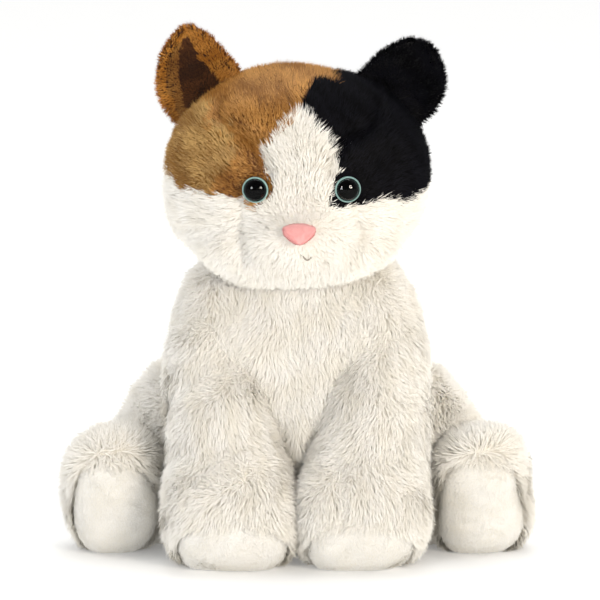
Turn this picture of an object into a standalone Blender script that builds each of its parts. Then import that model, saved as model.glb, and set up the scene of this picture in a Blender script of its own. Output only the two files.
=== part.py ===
"""A sitting calico plush cat, modelled as the sewn and stuffed pieces that it is made of.

Every stuffed form is a rounded body whose surface is where a simple distance field is zero. The fabric is
a shell under that surface, cut into its sewn panels, and the filling is the same form a little smaller.
The cat faces -Y, its own right side is -X, and it sits on z = 0. Run with Blender 4.5.
"""

import math

import bmesh
import bpy
import numpy as np
from mathutils import Matrix, Vector


def mm(*values):
    """Turns millimetres into metres, as one number or as a numpy point."""
    if len(values) == 1:
        return values[0] * 0.001
    return np.array(values, dtype=float) * 0.001


# Driving dimensions
FABRIC = mm(4.0)                     # backing cloth and the flattened part of its pile
FILL_GAP = mm(1.6)                   # between the cloth's inside and the filling
SEAM_GAP = mm(0.3)                   # between two panels at a seam
RIGHT, LEFT = -1.0, 1.0              # the cat's own sides, as the sign of x

# Head
HEAD_CENTRE = mm(0, -30, 208)
HEAD_HALF_WIDTH = mm(71)
HEAD_HALF_DEPTH = mm(59)
HEAD_UP = mm(57)
HEAD_DOWN = mm(52)
JOWL_FULLNESS = 2.6                  # power of the lower half's outline: 2 is an ellipse
MUZZLE_CENTRE = mm(0, -74, 180)
MUZZLE_RADII = mm(29, 22, 17)
CHIN_CENTRE = mm(0, -56, 174)
CHIN_RADII = mm(54, 30, 22)
PATCH_HEM = mm(200)                  # height of the lower edge of the two coloured crown panels
BLAZE_HALF_WIDTH = mm(16)
BLAZE_SHOULDER = mm(222)
BLAZE_TOP = mm(248)
MUZZLE_HALF_WIDTH = mm(28)
NAPE_FROM = mm(-18)                  # the side seam of the head
FACE_SHIFT = mm(2.4)                 # how far the sewn face sits towards the cat's left
EYE_SPREAD = mm(24.5)
EYE_HEIGHT = mm(207)
EYE_RADIUS = mm(6.7)
EYE_BULGE = mm(4.2)
POST_RADIUS = mm(2.4)
POST_LENGTH = mm(11)
WASHER_RADIUS = mm(8)
WASHER_DEPTH = mm(5.4)
WASHER_THICKNESS = mm(1.4)
NOSE_CENTRE = mm(1.1, -97.4, 186)
NOSE_HALF_WIDTH = mm(8.6)
NOSE_HALF_HEIGHT = mm(5.6)
NOSE_HALF_DEPTH = mm(2.4)
NOSE_LEAN = math.radians(24)

# Neck
NECK = mm(0, -26, 150)
NECK_RADIUS = mm(25)
NECK_CLEARANCE = mm(1.2)
COLLAR_TOP = mm(147)
COLLAR_FALL = 0.25

# Torso
TORSO_CENTRE = mm(0, -8, 70)
BELLY_CENTRE = mm(0, 4, 44)
BELLY_RADII = mm(66, 44, 60)
CHEST_CENTRE = mm(0, -22, 108)
CHEST_RADII = mm(55, 44, 50)
KEEL_HALF_WIDTH = mm(10)             # breast between the front legs
CHEST_SEAM = mm(-16)
BASE_SEAM = mm(7)
POUCH_TOP = mm(38)
POUCH_CLOTH = mm(1.5)

# Front legs
SHOULDER = mm(46.5, -42, 112)
SHOULDER_RADIUS = mm(24)
FOREARM = mm(41, -52, 80)
FOREARM_RADIUS = mm(29.5)
WRIST = mm(38, -60, 52)
WRIST_RADIUS = mm(31.5)
PAW_CENTRE = mm(36, -68, 28)
PAW_RADII = mm(34.5, 33, 32)
PAW_SQUARENESS = 2.5                 # power of the paw's outline: 2 is an ellipsoid
PAW_SOLE_LEAN = math.radians(48)     # how far the sole turns up from the floor to the front
PAW_SOLE_REACH = mm(21)              # from the paw's centre to the plane of the sole's seam

# Hind legs
HIP = mm(58.3, 4, 42)
THIGH_RADII = mm(40, 38, 58)
SHANK_START = mm(80, -2, 38)
SHANK_START_RADIUS = mm(30)
SHANK_END = mm(97, -18, 32)
SHANK_END_RADIUS = mm(25)
FOOT_CENTRE = mm(99.2, -27, 31.8)
FOOT_RADII = mm(25.4, 25.5, 32)
FOOT_SQUARENESS = 2.7
FOOT_SOLE_LEAN = math.radians(72)    # how far the sole turns up from the floor to the front
FOOT_SOLE_REACH = mm(13)             # from the foot's centre to the plane of the sole's seam

# Tail
TAIL_ROUTE = [mm(0, 40, 28), mm(0, 56, 23), mm(9, 74, 16), mm(29, 86.5, 14.5), mm(52, 86, 13.5), mm(73, 76, 12)]
TAIL_RADII = [mm(12), mm(14), mm(14.5), mm(14), mm(13), mm(10)]
TAIL_FABRIC = mm(3.0)
TAIL_PIVOT = mm(0, 48, 26)
TAIL_SOCKET = mm(15.2)

# Ears: outer foot, inner foot and tip of the right ear, seen from the front
EAR_OUTER = mm(-66, -24, 235)
EAR_INNER = mm(-33, -26, 262)
LEFT_EAR_SHIFT = mm(3)
RIGHT_EAR_TIP = mm(-60, -30, 287)
LEFT_EAR_TIP = mm(66, -30, 279)
EAR_BULGE = mm(12)
EAR_BLUNTNESS = mm(4)                # half the width that is added at the tip
EAR_CUP = mm(10)
EAR_CLEARANCE = mm(2.6)
EAR_CLOTH = mm(2.4)

# Flat faces, as a point and an outward normal
FLOOR = (mm(0, 0, 0), (0, 0, -1))
MIDLINE = (mm(1.2, 0, 0), (-1, 0, 0))
TORSO_FLATS = [FLOOR, (mm(57.8, 0, 0), (1, 0, 0)), (mm(-57.8, 0, 0), (-1, 0, 0))]

# Fabric and moulding colours, linear red, green and blue
WHITE_PILE = (0.86, 0.83, 0.77)
BROWN_PILE = (0.36, 0.17, 0.045)
BLACK_PILE = (0.008, 0.008, 0.010)
EAR_LINING = (0.10, 0.045, 0.02)
SOLE_PLUSH = (0.90, 0.87, 0.82)
NOSE_PLUSH = (0.90, 0.33, 0.37)
EYE_PLASTIC = (0.02, 0.03, 0.03)
WASHER_PLASTIC = (0.75, 0.75, 0.72)
POLYESTER = (0.92, 0.92, 0.92)
POUCH_CLOTH_COLOUR = (0.70, 0.70, 0.68)
PELLET_PLASTIC = (0.80, 0.80, 0.78)
THREAD = (0.30, 0.26, 0.24)


# Scene, materials and objects

def clear_scene():
    """Removes every object that the file starts with."""
    for item in list(bpy.data.objects):
        bpy.data.objects.remove(item, do_unlink=True)


def new_collection(name):
    """Adds a collection to the scene."""
    made = bpy.data.collections.new(name)
    bpy.context.scene.collection.children.link(made)
    return made


def material(name, colour, roughness=0.95):
    """A Principled material of one colour."""
    made = bpy.data.materials.new(name)
    made.use_nodes = True
    shader = made.node_tree.nodes["Principled BSDF"]
    shader.inputs["Base Color"].default_value = (*colour, 1.0)
    shader.inputs["Roughness"].default_value = roughness
    shader.inputs["Metallic"].default_value = 0.0
    return made


def joint_empty(name, place, parent=None):
    """An empty on a joint's axis, which the moving pieces hang from."""
    empty = bpy.data.objects.new(name, None)
    empty.empty_display_size = 0.02
    parts.objects.link(empty)
    empty.parent = parent
    start = Vector(parent["place"]) if parent else Vector((0, 0, 0))
    empty.location = Vector(place) - start
    empty["place"] = [float(c) for c in place]
    return empty


def add_piece(name, bm, finish, body):
    """Puts a mesh made in world coordinates into an object that hangs from a body's empty."""
    bmesh.ops.translate(bm, verts=bm.verts, vec=-Vector(body["place"]))
    mesh = bpy.data.meshes.new(name)
    bm.to_mesh(mesh)
    bm.free()
    mesh.shade_smooth()
    mesh.set_sharp_from_angle(angle=math.radians(50))
    mesh.materials.append(finish)
    piece = bpy.data.objects.new(name, mesh)
    parts.objects.link(piece)
    piece.parent = body
    return piece


def add_cutter(name, bm):
    """Keeps a mesh as a cutter, out of the model."""
    bmesh.ops.recalc_face_normals(bm, faces=bm.faces)
    mesh = bpy.data.meshes.new(name)
    bm.to_mesh(mesh)
    bm.free()
    cutter = bpy.data.objects.new(name, mesh)
    cutters.objects.link(cutter)
    cutter.hide_render = True
    cutter.display_type = "WIRE"
    return cutter


def cut(piece, cutter, keep_inside=False):
    """Cuts a piece with a cutter, or keeps only what is inside it."""
    step = piece.modifiers.new("cut_" + cutter.name, "BOOLEAN")
    step.operation = "INTERSECT" if keep_inside else "DIFFERENCE"
    step.solver = "EXACT"
    step.object = cutter


# Distance fields: negative inside, zero on the surface, in metres

def ellipsoid(p, centre, radii):
    """Distance to an ellipsoid along the line from its centre."""
    away = p - centre
    length = np.linalg.norm(away, axis=1) + 1e-9
    level = np.linalg.norm(away / radii, axis=1) + 1e-9
    return length * (1.0 - 1.0 / level)


def rounded_block(p, centre, radii, squareness):
    """As an ellipsoid, with a higher power than 2, so that it is squarer."""
    away = p - centre
    length = np.linalg.norm(away, axis=1) + 1e-9
    level = (np.abs(away / radii) ** squareness).sum(axis=1) ** (1.0 / squareness) + 1e-9
    return length * (1.0 - 1.0 / level)


def round_cone(p, start, end, start_radius, end_radius):
    """Distance to a tapering limb with round ends."""
    axis = end - start
    along = np.clip((p - start) @ axis / (axis @ axis), 0.0, 1.0)
    nearest = start + along[:, None] * axis
    return np.linalg.norm(p - nearest, axis=1) - (start_radius + (end_radius - start_radius) * along)


def blend(a, b, width):
    """Union of two fields with a soft crease of the given width."""
    share = np.clip(0.5 + 0.5 * (b - a) / width, 0.0, 1.0)
    return b + (a - b) * share - width * share * (1.0 - share)


def head_field(p):
    """A wide rounded head, fuller below than above, with a broad chin and a muzzle."""
    away = p - HEAD_CENTRE
    upper = away[:, 2] > 0
    tall = np.where(upper, HEAD_UP, HEAD_DOWN)
    power = np.where(upper, 2.0, JOWL_FULLNESS)
    face = (np.abs(away[:, 0] / HEAD_HALF_WIDTH) ** power + np.abs(away[:, 2] / tall) ** power) ** (2.0 / power)
    level = np.sqrt(face + (away[:, 1] / HEAD_HALF_DEPTH) ** 2) + 1e-9
    skull = np.linalg.norm(away, axis=1) * (1.0 - 1.0 / level)
    jaw = blend(skull, ellipsoid(p, CHIN_CENTRE, CHIN_RADII), mm(6))
    return blend(jaw, ellipsoid(p, MUZZLE_CENTRE, MUZZLE_RADII), mm(8))


def torso_field(p):
    """A pear with a top that falls away from the neck."""
    pear = blend(ellipsoid(p, BELLY_CENTRE, BELLY_RADII), ellipsoid(p, CHEST_CENTRE, CHEST_RADII), mm(12))
    from_neck = np.hypot(p[:, 0] - NECK[0], p[:, 1] - NECK[1])
    collar = p[:, 2] - COLLAR_TOP + COLLAR_FALL * np.maximum(from_neck - NECK_RADIUS, 0.0)
    return np.maximum(pear, collar)


def front_leg_field(p):
    """Shoulder, forearm and a broad paw that stands on the floor. For x > 0."""
    upper = round_cone(p, SHOULDER, FOREARM, SHOULDER_RADIUS, FOREARM_RADIUS)
    lower = round_cone(p, FOREARM, WRIST, FOREARM_RADIUS, WRIST_RADIUS)
    paw = rounded_block(p, PAW_CENTRE, PAW_RADII, PAW_SQUARENESS)
    return blend(np.minimum(upper, lower), paw, mm(8))


def hind_leg_field(p):
    """A thigh against the torso's flat side, and a foot that points forward. For x > 0."""
    thigh = ellipsoid(p, HIP, THIGH_RADII)
    shank = round_cone(p, SHANK_START, SHANK_END, SHANK_START_RADIUS, SHANK_END_RADIUS)
    foot = rounded_block(p, FOOT_CENTRE, FOOT_RADII, FOOT_SQUARENESS)
    return blend(blend(thigh, shank, mm(10)), foot, mm(6))


# Meshes

def project(directions, centre, field, inset):
    """Where each ray from the centre meets the surface that lies inset under the field's own."""
    low = np.zeros(len(directions))
    high = np.full(len(directions), mm(140))
    for _ in range(30):
        middle = 0.5 * (low + high)
        outside = field(centre + directions * middle[:, None]) + inset > 0
        high = np.where(outside, middle, high)
        low = np.where(outside, low, middle)
    return centre + directions * low[:, None]


def form(field, centre, inset=0.0, segments=20, rings=12, side=1.0, reverse=False, flats=()):
    """A closed rounded mesh: a UV sphere moved out to the field's surface, then cut flat by planes.

    Each flat is a point and an outward normal for x > 0, and moves in by the inset as the surface does.
    """
    bm = bmesh.new()
    bmesh.ops.create_uvsphere(bm, u_segments=segments, v_segments=rings, radius=1.0)
    directions = np.array([v.co.normalized() for v in bm.verts])
    for vertex, point in zip(bm.verts, project(directions, centre, field, inset)):
        vertex.co = point
    for point, normal in flats:
        place = Vector(point) - Vector(normal) * inset
        everything = list(bm.verts) + list(bm.edges) + list(bm.faces)
        bmesh.ops.bisect_plane(bm, geom=everything, plane_co=place, plane_no=normal, clear_outer=True,
                               dist=1e-6)
        rim = [edge for edge in bm.edges if edge.is_boundary]
        bmesh.ops.holes_fill(bm, edges=rim, sides=0)
    if side < 0:
        bmesh.ops.scale(bm, verts=bm.verts, vec=(-1, 1, 1))
    bmesh.ops.triangulate(bm, faces=bm.faces)
    bmesh.ops.recalc_face_normals(bm, faces=bm.faces)
    if reverse:
        bmesh.ops.reverse_faces(bm, faces=bm.faces)
    return bm


def joined(first, second):
    """Two meshes in one."""
    holder = bpy.data.meshes.new("holder")
    second.to_mesh(holder)
    second.free()
    first.from_mesh(holder)
    bpy.data.meshes.remove(holder)
    return first


def shell(field, centre, **options):
    """A form with the same form inside it, one cloth thickness down, turned inwards."""
    outside = form(field, centre, 0.0, **options)
    return joined(outside, form(field, centre, FABRIC, reverse=True, **options))


def offset_outline(outline, distance):
    """Moves every edge of a closed outline inwards by a distance. The outline runs anticlockwise."""
    moved = []
    for index, corner in enumerate(outline):
        before = Vector(outline[index - 1])
        after = Vector(outline[(index + 1) % len(outline)])
        here = Vector(corner)
        into = (here - before).normalized()
        out = (after - here).normalized()
        left = Vector((-into.y, into.x)) + Vector((-out.y, out.x))
        scale = distance / max(0.2, left.length_squared / 2.0)
        moved.append(here + left * scale)
    return moved


def prism(outline, low, high, plane="XZ"):
    """A straight block over an outline in the XZ or the YZ plane, between two values of the third axis."""
    bm = bmesh.new()
    corners = []
    for a, b in outline:
        corners.append(bm.verts.new((a, low, b) if plane == "XZ" else (low, a, b)))
    face = bm.faces.new(corners)
    grown = bmesh.ops.extrude_face_region(bm, geom=[face])
    step = Vector((0, high - low, 0)) if plane == "XZ" else Vector((high - low, 0, 0))
    bmesh.ops.translate(bm, verts=[g for g in grown["geom"] if isinstance(g, bmesh.types.BMVert)], vec=step)
    bmesh.ops.recalc_face_normals(bm, faces=bm.faces)
    return bm


def block(low, high):
    """An axis-aligned box between two corners."""
    bm = bmesh.new()
    bmesh.ops.create_cube(bm, size=1.0)
    size = Vector(high) - Vector(low)
    bmesh.ops.scale(bm, verts=bm.verts, vec=size)
    bmesh.ops.translate(bm, verts=bm.verts, vec=Vector(low) + size / 2)
    return bm


def ball(centre, radius, segments=20, rings=12):
    """A sphere."""
    bm = bmesh.new()
    bmesh.ops.create_uvsphere(bm, u_segments=segments, v_segments=rings, radius=radius)
    bmesh.ops.translate(bm, verts=bm.verts, vec=Vector(centre))
    return bm


def rod(start, end, radius, sides=16):
    """A cylinder between two points."""
    bm = bmesh.new()
    axis = Vector(end) - Vector(start)
    bmesh.ops.create_cone(bm, cap_ends=True, segments=sides, radius1=radius, radius2=radius, depth=axis.length)
    turn = Vector((0, 0, 1)).rotation_difference(axis).to_matrix().to_4x4()
    place = Matrix.Translation((Vector(start) + Vector(end)) / 2) @ turn
    bmesh.ops.transform(bm, matrix=place, verts=bm.verts)
    return bm


def tube(points, radii, resolution=2):
    """A round tube with closed ends along points, as a mesh."""
    data = bpy.data.curves.new("route", "CURVE")
    data.dimensions = "3D"
    data.bevel_depth = 1.0
    data.bevel_resolution = resolution
    data.use_fill_caps = True
    spline = data.splines.new("POLY")
    spline.points.add(len(points) - 1)
    for slot, point, radius in zip(spline.points, points, radii):
        slot.co = (*point, 1.0)
        slot.radius = radius
    holder = bpy.data.objects.new("route", data)
    cutters.objects.link(holder)
    bpy.context.view_layer.update()
    seen = holder.evaluated_get(bpy.context.evaluated_depsgraph_get())
    mesh = bpy.data.meshes.new_from_object(seen)
    bm = bmesh.new()
    bm.from_mesh(mesh)
    bmesh.ops.remove_doubles(bm, verts=bm.verts, dist=1e-5)
    bmesh.ops.recalc_face_normals(bm, faces=bm.faces)
    bpy.data.objects.remove(holder, do_unlink=True)
    bpy.data.meshes.remove(mesh)
    return bm


def smooth_route(points, values, count):
    """Catmull-Rom curve through points, with a value eased along it the same way."""
    rows = np.column_stack([np.array(points), np.array(values)])
    padded = np.vstack([2 * rows[0] - rows[1], rows, 2 * rows[-1] - rows[-2]])
    made = []
    for step in np.linspace(0, len(rows) - 1 - 1e-9, count):
        index = int(step)
        t = step - index
        a, b, c, d = padded[index:index + 4]
        made.append(0.5 * (2 * b + (c - a) * t + (2 * a - 5 * b + 4 * c - d) * t ** 2
                           + (3 * b - 3 * c + d - a) * t ** 3))
    made = np.array(made)
    return made[:, :3], made[:, 3]


# Head

def surface_at(x, z):
    """The point of the face at a given x and z, and the way its surface points there."""
    low, high = mm(-160), HEAD_CENTRE[1]
    for _ in range(40):
        middle = 0.5 * (low + high)
        if head_field(np.array([[x, middle, z]]))[0] > 0:
            low = middle
        else:
            high = middle
    point = np.array([x, high, z])
    step = mm(0.5)
    slope = [head_field((point + step * axis)[None])[0] - head_field((point - step * axis)[None])[0]
             for axis in np.eye(3)]
    return Vector(point), Vector(slope).normalized()


def head_outlines():
    """The sewn panels' outlines seen from the front."""
    far, floor, top = mm(120), mm(120), mm(320)
    hem, half, cheek = PATCH_HEM, BLAZE_HALF_WIDTH, MUZZLE_HALF_WIDTH
    apex, parting = (mm(1), BLAZE_TOP), [(mm(20), mm(270)), (mm(24), top)]
    brown = [(-far, hem), (-half, hem), (-half, BLAZE_SHOULDER), apex, *parting, (-far, top)]
    black = [(half, hem), (far, hem), (far, top), *reversed(parting), apex, (half, BLAZE_SHOULDER)]
    muzzle = [(-cheek, floor), (cheek, floor), (cheek, hem), (half, hem), (half, BLAZE_SHOULDER), apex,
              (-half, BLAZE_SHOULDER), (-half, hem), (-cheek, hem)]
    right_cheek = [(-far, floor), (-cheek, floor), (-cheek, hem), (-far, hem)]
    left_cheek = [(cheek, floor), (far, floor), (far, hem), (cheek, hem)]
    nape = [(-far, floor), (far, floor), (far, hem), (half, hem), (half, BLAZE_SHOULDER), apex,
            (-half, BLAZE_SHOULDER), (-half, hem), (-far, hem)]
    return brown, black, muzzle, right_cheek, left_cheek, nape


def build_head(body, pile):
    """Six sewn panels round the filling, the two eyes with their washers, the nose and the mouth."""
    brown, black, muzzle, right_cheek, left_cheek, nape = head_outlines()
    front, seam, back = mm(-200), NAPE_FROM, mm(200)
    half_gap = SEAM_GAP / 2
    panels = [
        ("brown_crown_panel", brown, front, back, pile["brown"]),
        ("black_crown_panel", black, front, back, pile["black"]),
        ("muzzle_panel", muzzle, front, seam - half_gap, pile["white"]),
        ("right_cheek_panel", right_cheek, front, seam - half_gap, pile["white"]),
        ("left_cheek_panel", left_cheek, front, seam - half_gap, pile["white"]),
        ("nape_panel", nape, seam + half_gap, back, pile["white"]),
    ]
    socket = add_cutter("neck_socket_head", ball(NECK, NECK_RADIUS + NECK_CLEARANCE))
    sides = {RIGHT: "right", LEFT: "left"}
    holes = {side: eye_cutters(side, word) for side, word in sides.items()}
    for name, outline, low, high, finish in panels:
        piece = add_piece(name, shell(head_field, HEAD_CENTRE, segments=22, rings=14), finish, body)
        cut(piece, add_cutter("cell_" + name, prism(offset_outline(outline, half_gap), low, high)), True)
        if high < back or low > front:
            cut(piece, socket)
        if name == "brown_crown_panel":
            cut(piece, holes[RIGHT][0])
        if name == "black_crown_panel":
            cut(piece, holes[LEFT][0])
    inside = form(head_field, HEAD_CENTRE, FABRIC + FILL_GAP, segments=22, rings=14)
    filling = add_piece("head_stuffing", inside, pile["fill"], body)
    cut(filling, socket)
    for side, word in sides.items():
        cut(filling, holes[side][1])
        build_eye(side, word, body, pile)
    build_nose(body, pile)
    build_mouth(body, pile)


def eye_cutters(side, word):
    """The hole in the cloth for the eye's post, and the hollow in the filling for post and washer."""
    place, out = surface_at(side * EYE_SPREAD + FACE_SHIFT, EYE_HEIGHT)
    hole = add_cutter(f"{word}_eye_hole", rod(place + out * mm(8), place - out * mm(14), POST_RADIUS + mm(0.5)))
    hollow = add_cutter(f"{word}_eye_hollow",
                        rod(place + out * mm(8), place - out * (POST_LENGTH + mm(1)), WASHER_RADIUS + mm(1)))
    return hole, hollow


def build_eye(side, word, body, pile):
    """A moulded dome on a post, and the washer pressed onto the post behind the cloth."""
    place, out = surface_at(side * EYE_SPREAD + FACE_SHIFT, EYE_HEIGHT)
    seat = mm(0.9)
    profile = [(0.0, seat + EYE_BULGE)]
    steps = 6
    for index in range(1, steps + 1):
        turn = index / steps * math.pi / 2
        profile.append((EYE_RADIUS * math.sin(turn), seat + EYE_BULGE * math.cos(turn)))
    profile += [(POST_RADIUS, seat), (POST_RADIUS, -POST_LENGTH), (0.0, -POST_LENGTH)]
    add_piece(f"{word}_eye", turned(profile, place, out), pile["eye"], body)
    inner, outer = POST_RADIUS + mm(0.3), WASHER_RADIUS
    low, high = -WASHER_DEPTH - WASHER_THICKNESS, -WASHER_DEPTH
    ring = [(inner, high), (outer, high), (outer, low), (inner, low), (inner, high)]
    add_piece(f"{word}_eye_washer", turned(ring, place, out), pile["washer"], body)


def turned(profile, place, axis, steps=20):
    """A profile of radius and height turned about an axis."""
    bm = bmesh.new()
    line = [bm.verts.new((radius, 0.0, height)) for radius, height in profile]
    edges = [bm.edges.new(pair) for pair in zip(line, line[1:])]
    bmesh.ops.spin(bm, geom=line + edges, axis=(0, 0, 1), cent=(0, 0, 0), angle=2 * math.pi, steps=steps,
                   use_merge=True)
    bmesh.ops.remove_doubles(bm, verts=bm.verts, dist=1e-6)
    bmesh.ops.recalc_face_normals(bm, faces=bm.faces)
    turn = Vector((0, 0, 1)).rotation_difference(axis).to_matrix().to_4x4()
    bmesh.ops.transform(bm, matrix=Matrix.Translation(place) @ turn, verts=bm.verts)
    return bm


def build_nose(body, pile):
    """A small plush pad, broad above and rounded to a point below."""
    bm = ball((0, 0, 0), 1.0, 20, 12)
    for vertex in bm.verts:
        x, y, z = vertex.co
        taper = 0.62 + 0.38 * (z + 1.0) / 2.0 if z < 0.35 else 1.0
        vertex.co = (x * NOSE_HALF_WIDTH * taper, y * NOSE_HALF_DEPTH, z * NOSE_HALF_HEIGHT)
    place = Matrix.Translation(Vector(NOSE_CENTRE)) @ Matrix.Rotation(-NOSE_LEAN, 4, "X")
    bmesh.ops.transform(bm, matrix=place, verts=bm.verts)
    add_piece("nose", bm, pile["nose"], body)


def build_mouth(body, pile):
    """One line of thread that falls from the nose and turns along the lip."""
    lift, radius = mm(1.4), mm(0.5)
    route = []
    for x, z in [(mm(1), mm(177)), (mm(1), mm(172)), (mm(3), mm(169.5)), (mm(6.5), mm(168.5))]:
        place, out = surface_at(x, z)
        route.append(place + out * lift)
    points, radii = smooth_route(route, [radius] * len(route), 9)
    add_piece("mouth_stitching", tube(points, radii, 1), pile["thread"], body)


# Ears

def ear_corners(side):
    """The outer and the inner corner of an ear's foot."""
    shift = LEFT_EAR_SHIFT if side == LEFT else 0.0
    return [np.array([side * -corner[0] + shift, corner[1], corner[2]]) for corner in (EAR_OUTER, EAR_INNER)]


def ear_sheet(side, tip):
    """The middle surface of an ear as a grid: a skewed triangle with round edges, hollow to the front.

    The foot follows the head's surface from the outer to the inner corner, and the rows above it close
    in on the tip, while the middle of the sheet lies back from its edges.
    """
    across, up = 7, 7
    bm = bmesh.new()
    bmesh.ops.create_grid(bm, x_segments=across, y_segments=up, size=1.0)
    outer, inner = ear_corners(side)
    for vertex in bm.verts:
        u, w = (vertex.co.x + 1) / 2, (vertex.co.y + 1) / 2
        foot = outer + (inner - outer) * u
        ray = (foot - HEAD_CENTRE) / np.linalg.norm(foot - HEAD_CENTRE)
        foot = project(ray[None], HEAD_CENTRE, head_field, -EAR_CLEARANCE)[0]
        close = w ** 1.7 * 0.86
        point = foot * (1 - w) + tip * w
        point += (tip - foot) * (close - w) * 0.35
        bulge = 4 * w * (1 - w)
        point[0] += side * EAR_BULGE * bulge * (1 - u)
        point[0] += side * EAR_BLUNTNESS * w * w * (1 - 2 * u)
        point[2] += EAR_BULGE * 0.35 * bulge * u
        hollow = 4 * u * (1 - u) * (0.35 + 0.65 * (1 - w)) * min(1.0, 6 * w)
        point[1] += EAR_CUP * hollow
        vertex.co = point
    return bm


def build_ear(side, word, tip, body, front_finish, back_finish):
    """Two cloth sheets that lie on the two sides of one middle surface."""
    for name, facing, finish in (("front", 1.0, front_finish), ("back", -1.0, back_finish)):
        bm = ear_sheet(side, tip)
        if side < 0:
            bmesh.ops.reverse_faces(bm, faces=bm.faces)
        bm.normal_update()
        shifts = [vertex.normal * facing * -SEAM_GAP / 2 for vertex in bm.verts]
        for vertex, shift in zip(bm.verts, shifts):
            vertex.co += shift
        piece = add_piece(f"{word}_ear_{name}", bm, finish, body)
        thick = piece.modifiers.new("cloth", "SOLIDIFY")
        thick.thickness = EAR_CLOTH
        thick.offset = -facing


# Torso

def leg_room(side, word):
    """All the space that a front leg sweeps, beside the breast."""
    outline = [(mm(-14), mm(137)), (mm(-14), mm(104)), (mm(-20), mm(84)), (mm(-26), mm(56)),
               (mm(-33), mm(20)), (mm(-36), mm(-10)), (mm(-150), mm(-10)), (mm(-150), mm(138.5)),
               (mm(-24), mm(138.5))]
    low, high = sorted((side * KEEL_HALF_WIDTH, side * mm(100)))
    return add_cutter(f"{word}_leg_room", prism(outline, low, high, "YZ"))


def build_torso(body, pile):
    """Breast, two back panels and a base round the filling, with a pouch of pellets in the seat."""
    socket = add_cutter("neck_socket_torso", ball(NECK, NECK_RADIUS + NECK_CLEARANCE))
    tail_socket = add_cutter("tail_socket", ball(TAIL_PIVOT, TAIL_SOCKET + mm(0.8)))
    rooms = [leg_room(RIGHT, "right"), leg_room(LEFT, "left")]
    half_gap = SEAM_GAP / 2
    far, top = mm(150), mm(200)
    seam, base = CHEST_SEAM, BASE_SEAM
    grid = {"segments": 20, "rings": 14, "flats": TORSO_FLATS}
    panels = [
        ("chest_panel", (-far, -far, base + half_gap), (far, seam - half_gap, top), pile["white"]),
        ("right_back_panel", (-far, seam + half_gap, base + half_gap), (-half_gap, far, top), pile["white"]),
        ("left_back_panel", (half_gap, seam + half_gap, base + half_gap), (far, far, top), pile["white"]),
        ("base_panel", (-far, -far, -far), (far, far, base - half_gap), pile["white"]),
    ]
    for name, low, high, finish in panels:
        piece = add_piece(name, shell(torso_field, TORSO_CENTRE, **grid), finish, body)
        cut(piece, add_cutter("cell_" + name, block(low, high)), True)
        for room in rooms:
            cut(piece, room)
        if name != "base_panel":
            cut(piece, socket)
        if "back" in name:
            cut(piece, tail_socket)
    inset = FABRIC + FILL_GAP
    filling = add_piece("torso_stuffing", form(torso_field, TORSO_CENTRE, inset, **grid), pile["fill"], body)
    cut(filling, add_cutter("cell_filling", block((-far, -far, POUCH_TOP + mm(0.6)), (far, far, top))), True)
    low_cell = add_cutter("cell_pouch", block((-far, -far, -far), (far, far, POUCH_TOP)))
    pouch = add_piece("bean_pouch", form(torso_field, TORSO_CENTRE, inset, **grid), pile["pouch"], body)
    cut(pouch, low_cell, True)
    for piece in (filling, pouch):
        for tool in [*rooms, tail_socket]:
            cut(piece, tool)
    cut(filling, socket)
    heart = mm(0, 0, 22)
    pellets = ellipsoid_form(heart, mm(40, 24, 11.5))
    cut(pouch, add_cutter("pouch_inside", ellipsoid_form(heart, mm(40.9, 24.9, 12.4))))
    cut(pouch, add_cutter("pouch_mouth", rod(mm(0, 0, 25), mm(0, 0, 60), mm(6))))
    add_piece("bean_pellets", pellets, pile["pellets"], body)


def ellipsoid_form(centre, radii):
    """An ellipsoid."""
    bm = ball((0, 0, 0), 1.0, 16, 10)
    bmesh.ops.scale(bm, verts=bm.verts, vec=Vector(radii))
    bmesh.ops.translate(bm, verts=bm.verts, vec=Vector(centre))
    return bm


# Limbs

def half_space(point, normal, gap):
    """A large block on the far side of a plane through a point, which starts a gap beyond it."""
    size = mm(160)
    bm = bmesh.new()
    bmesh.ops.create_cube(bm, size=size)
    normal = Vector(normal).normalized()
    turn = Vector((0, 0, 1)).rotation_difference(normal).to_matrix().to_4x4()
    centre = Vector(point) + normal * (size / 2 + gap)
    bmesh.ops.transform(bm, matrix=Matrix.Translation(centre) @ turn, verts=bm.verts)
    return bm


def build_limb(names, field, centre, side, flats, sole_point, sole_normal, body, pile):
    """A cloth limb that is open at its sole, the sole, and the filling."""
    skin_name, sole_name, fill_name = names
    half_gap = SEAM_GAP / 2
    options = {"segments": 16, "rings": 11, "side": side, "flats": flats}
    skin = add_piece(skin_name, shell(field, centre, **options), pile["white"], body)
    cut(skin, add_cutter("open_" + sole_name, half_space(sole_point, sole_normal, -half_gap)))
    sole = add_piece(sole_name, shell(field, centre, **options), pile["sole"], body)
    cut(sole, add_cutter("cell_" + sole_name, half_space(sole_point, sole_normal, half_gap)), True)
    filling = form(field, centre, FABRIC + FILL_GAP, **options)
    add_piece(fill_name, filling, pile["fill"], body)


def build_front_leg(side, word, body, pile):
    """A front leg that stands straight down from the shoulder to its paw."""
    lean = Vector((0, -math.sin(PAW_SOLE_LEAN), -math.cos(PAW_SOLE_LEAN)))
    sole_point = Vector((side * PAW_CENTRE[0], PAW_CENTRE[1], PAW_CENTRE[2])) + lean * PAW_SOLE_REACH
    names = (f"{word}_front_leg_skin", f"{word}_front_paw_sole", f"{word}_front_leg_stuffing")
    build_limb(names, front_leg_field, mm(38, -60, 55), side, [FLOOR, MIDLINE], sole_point, lean, body, pile)


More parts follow.
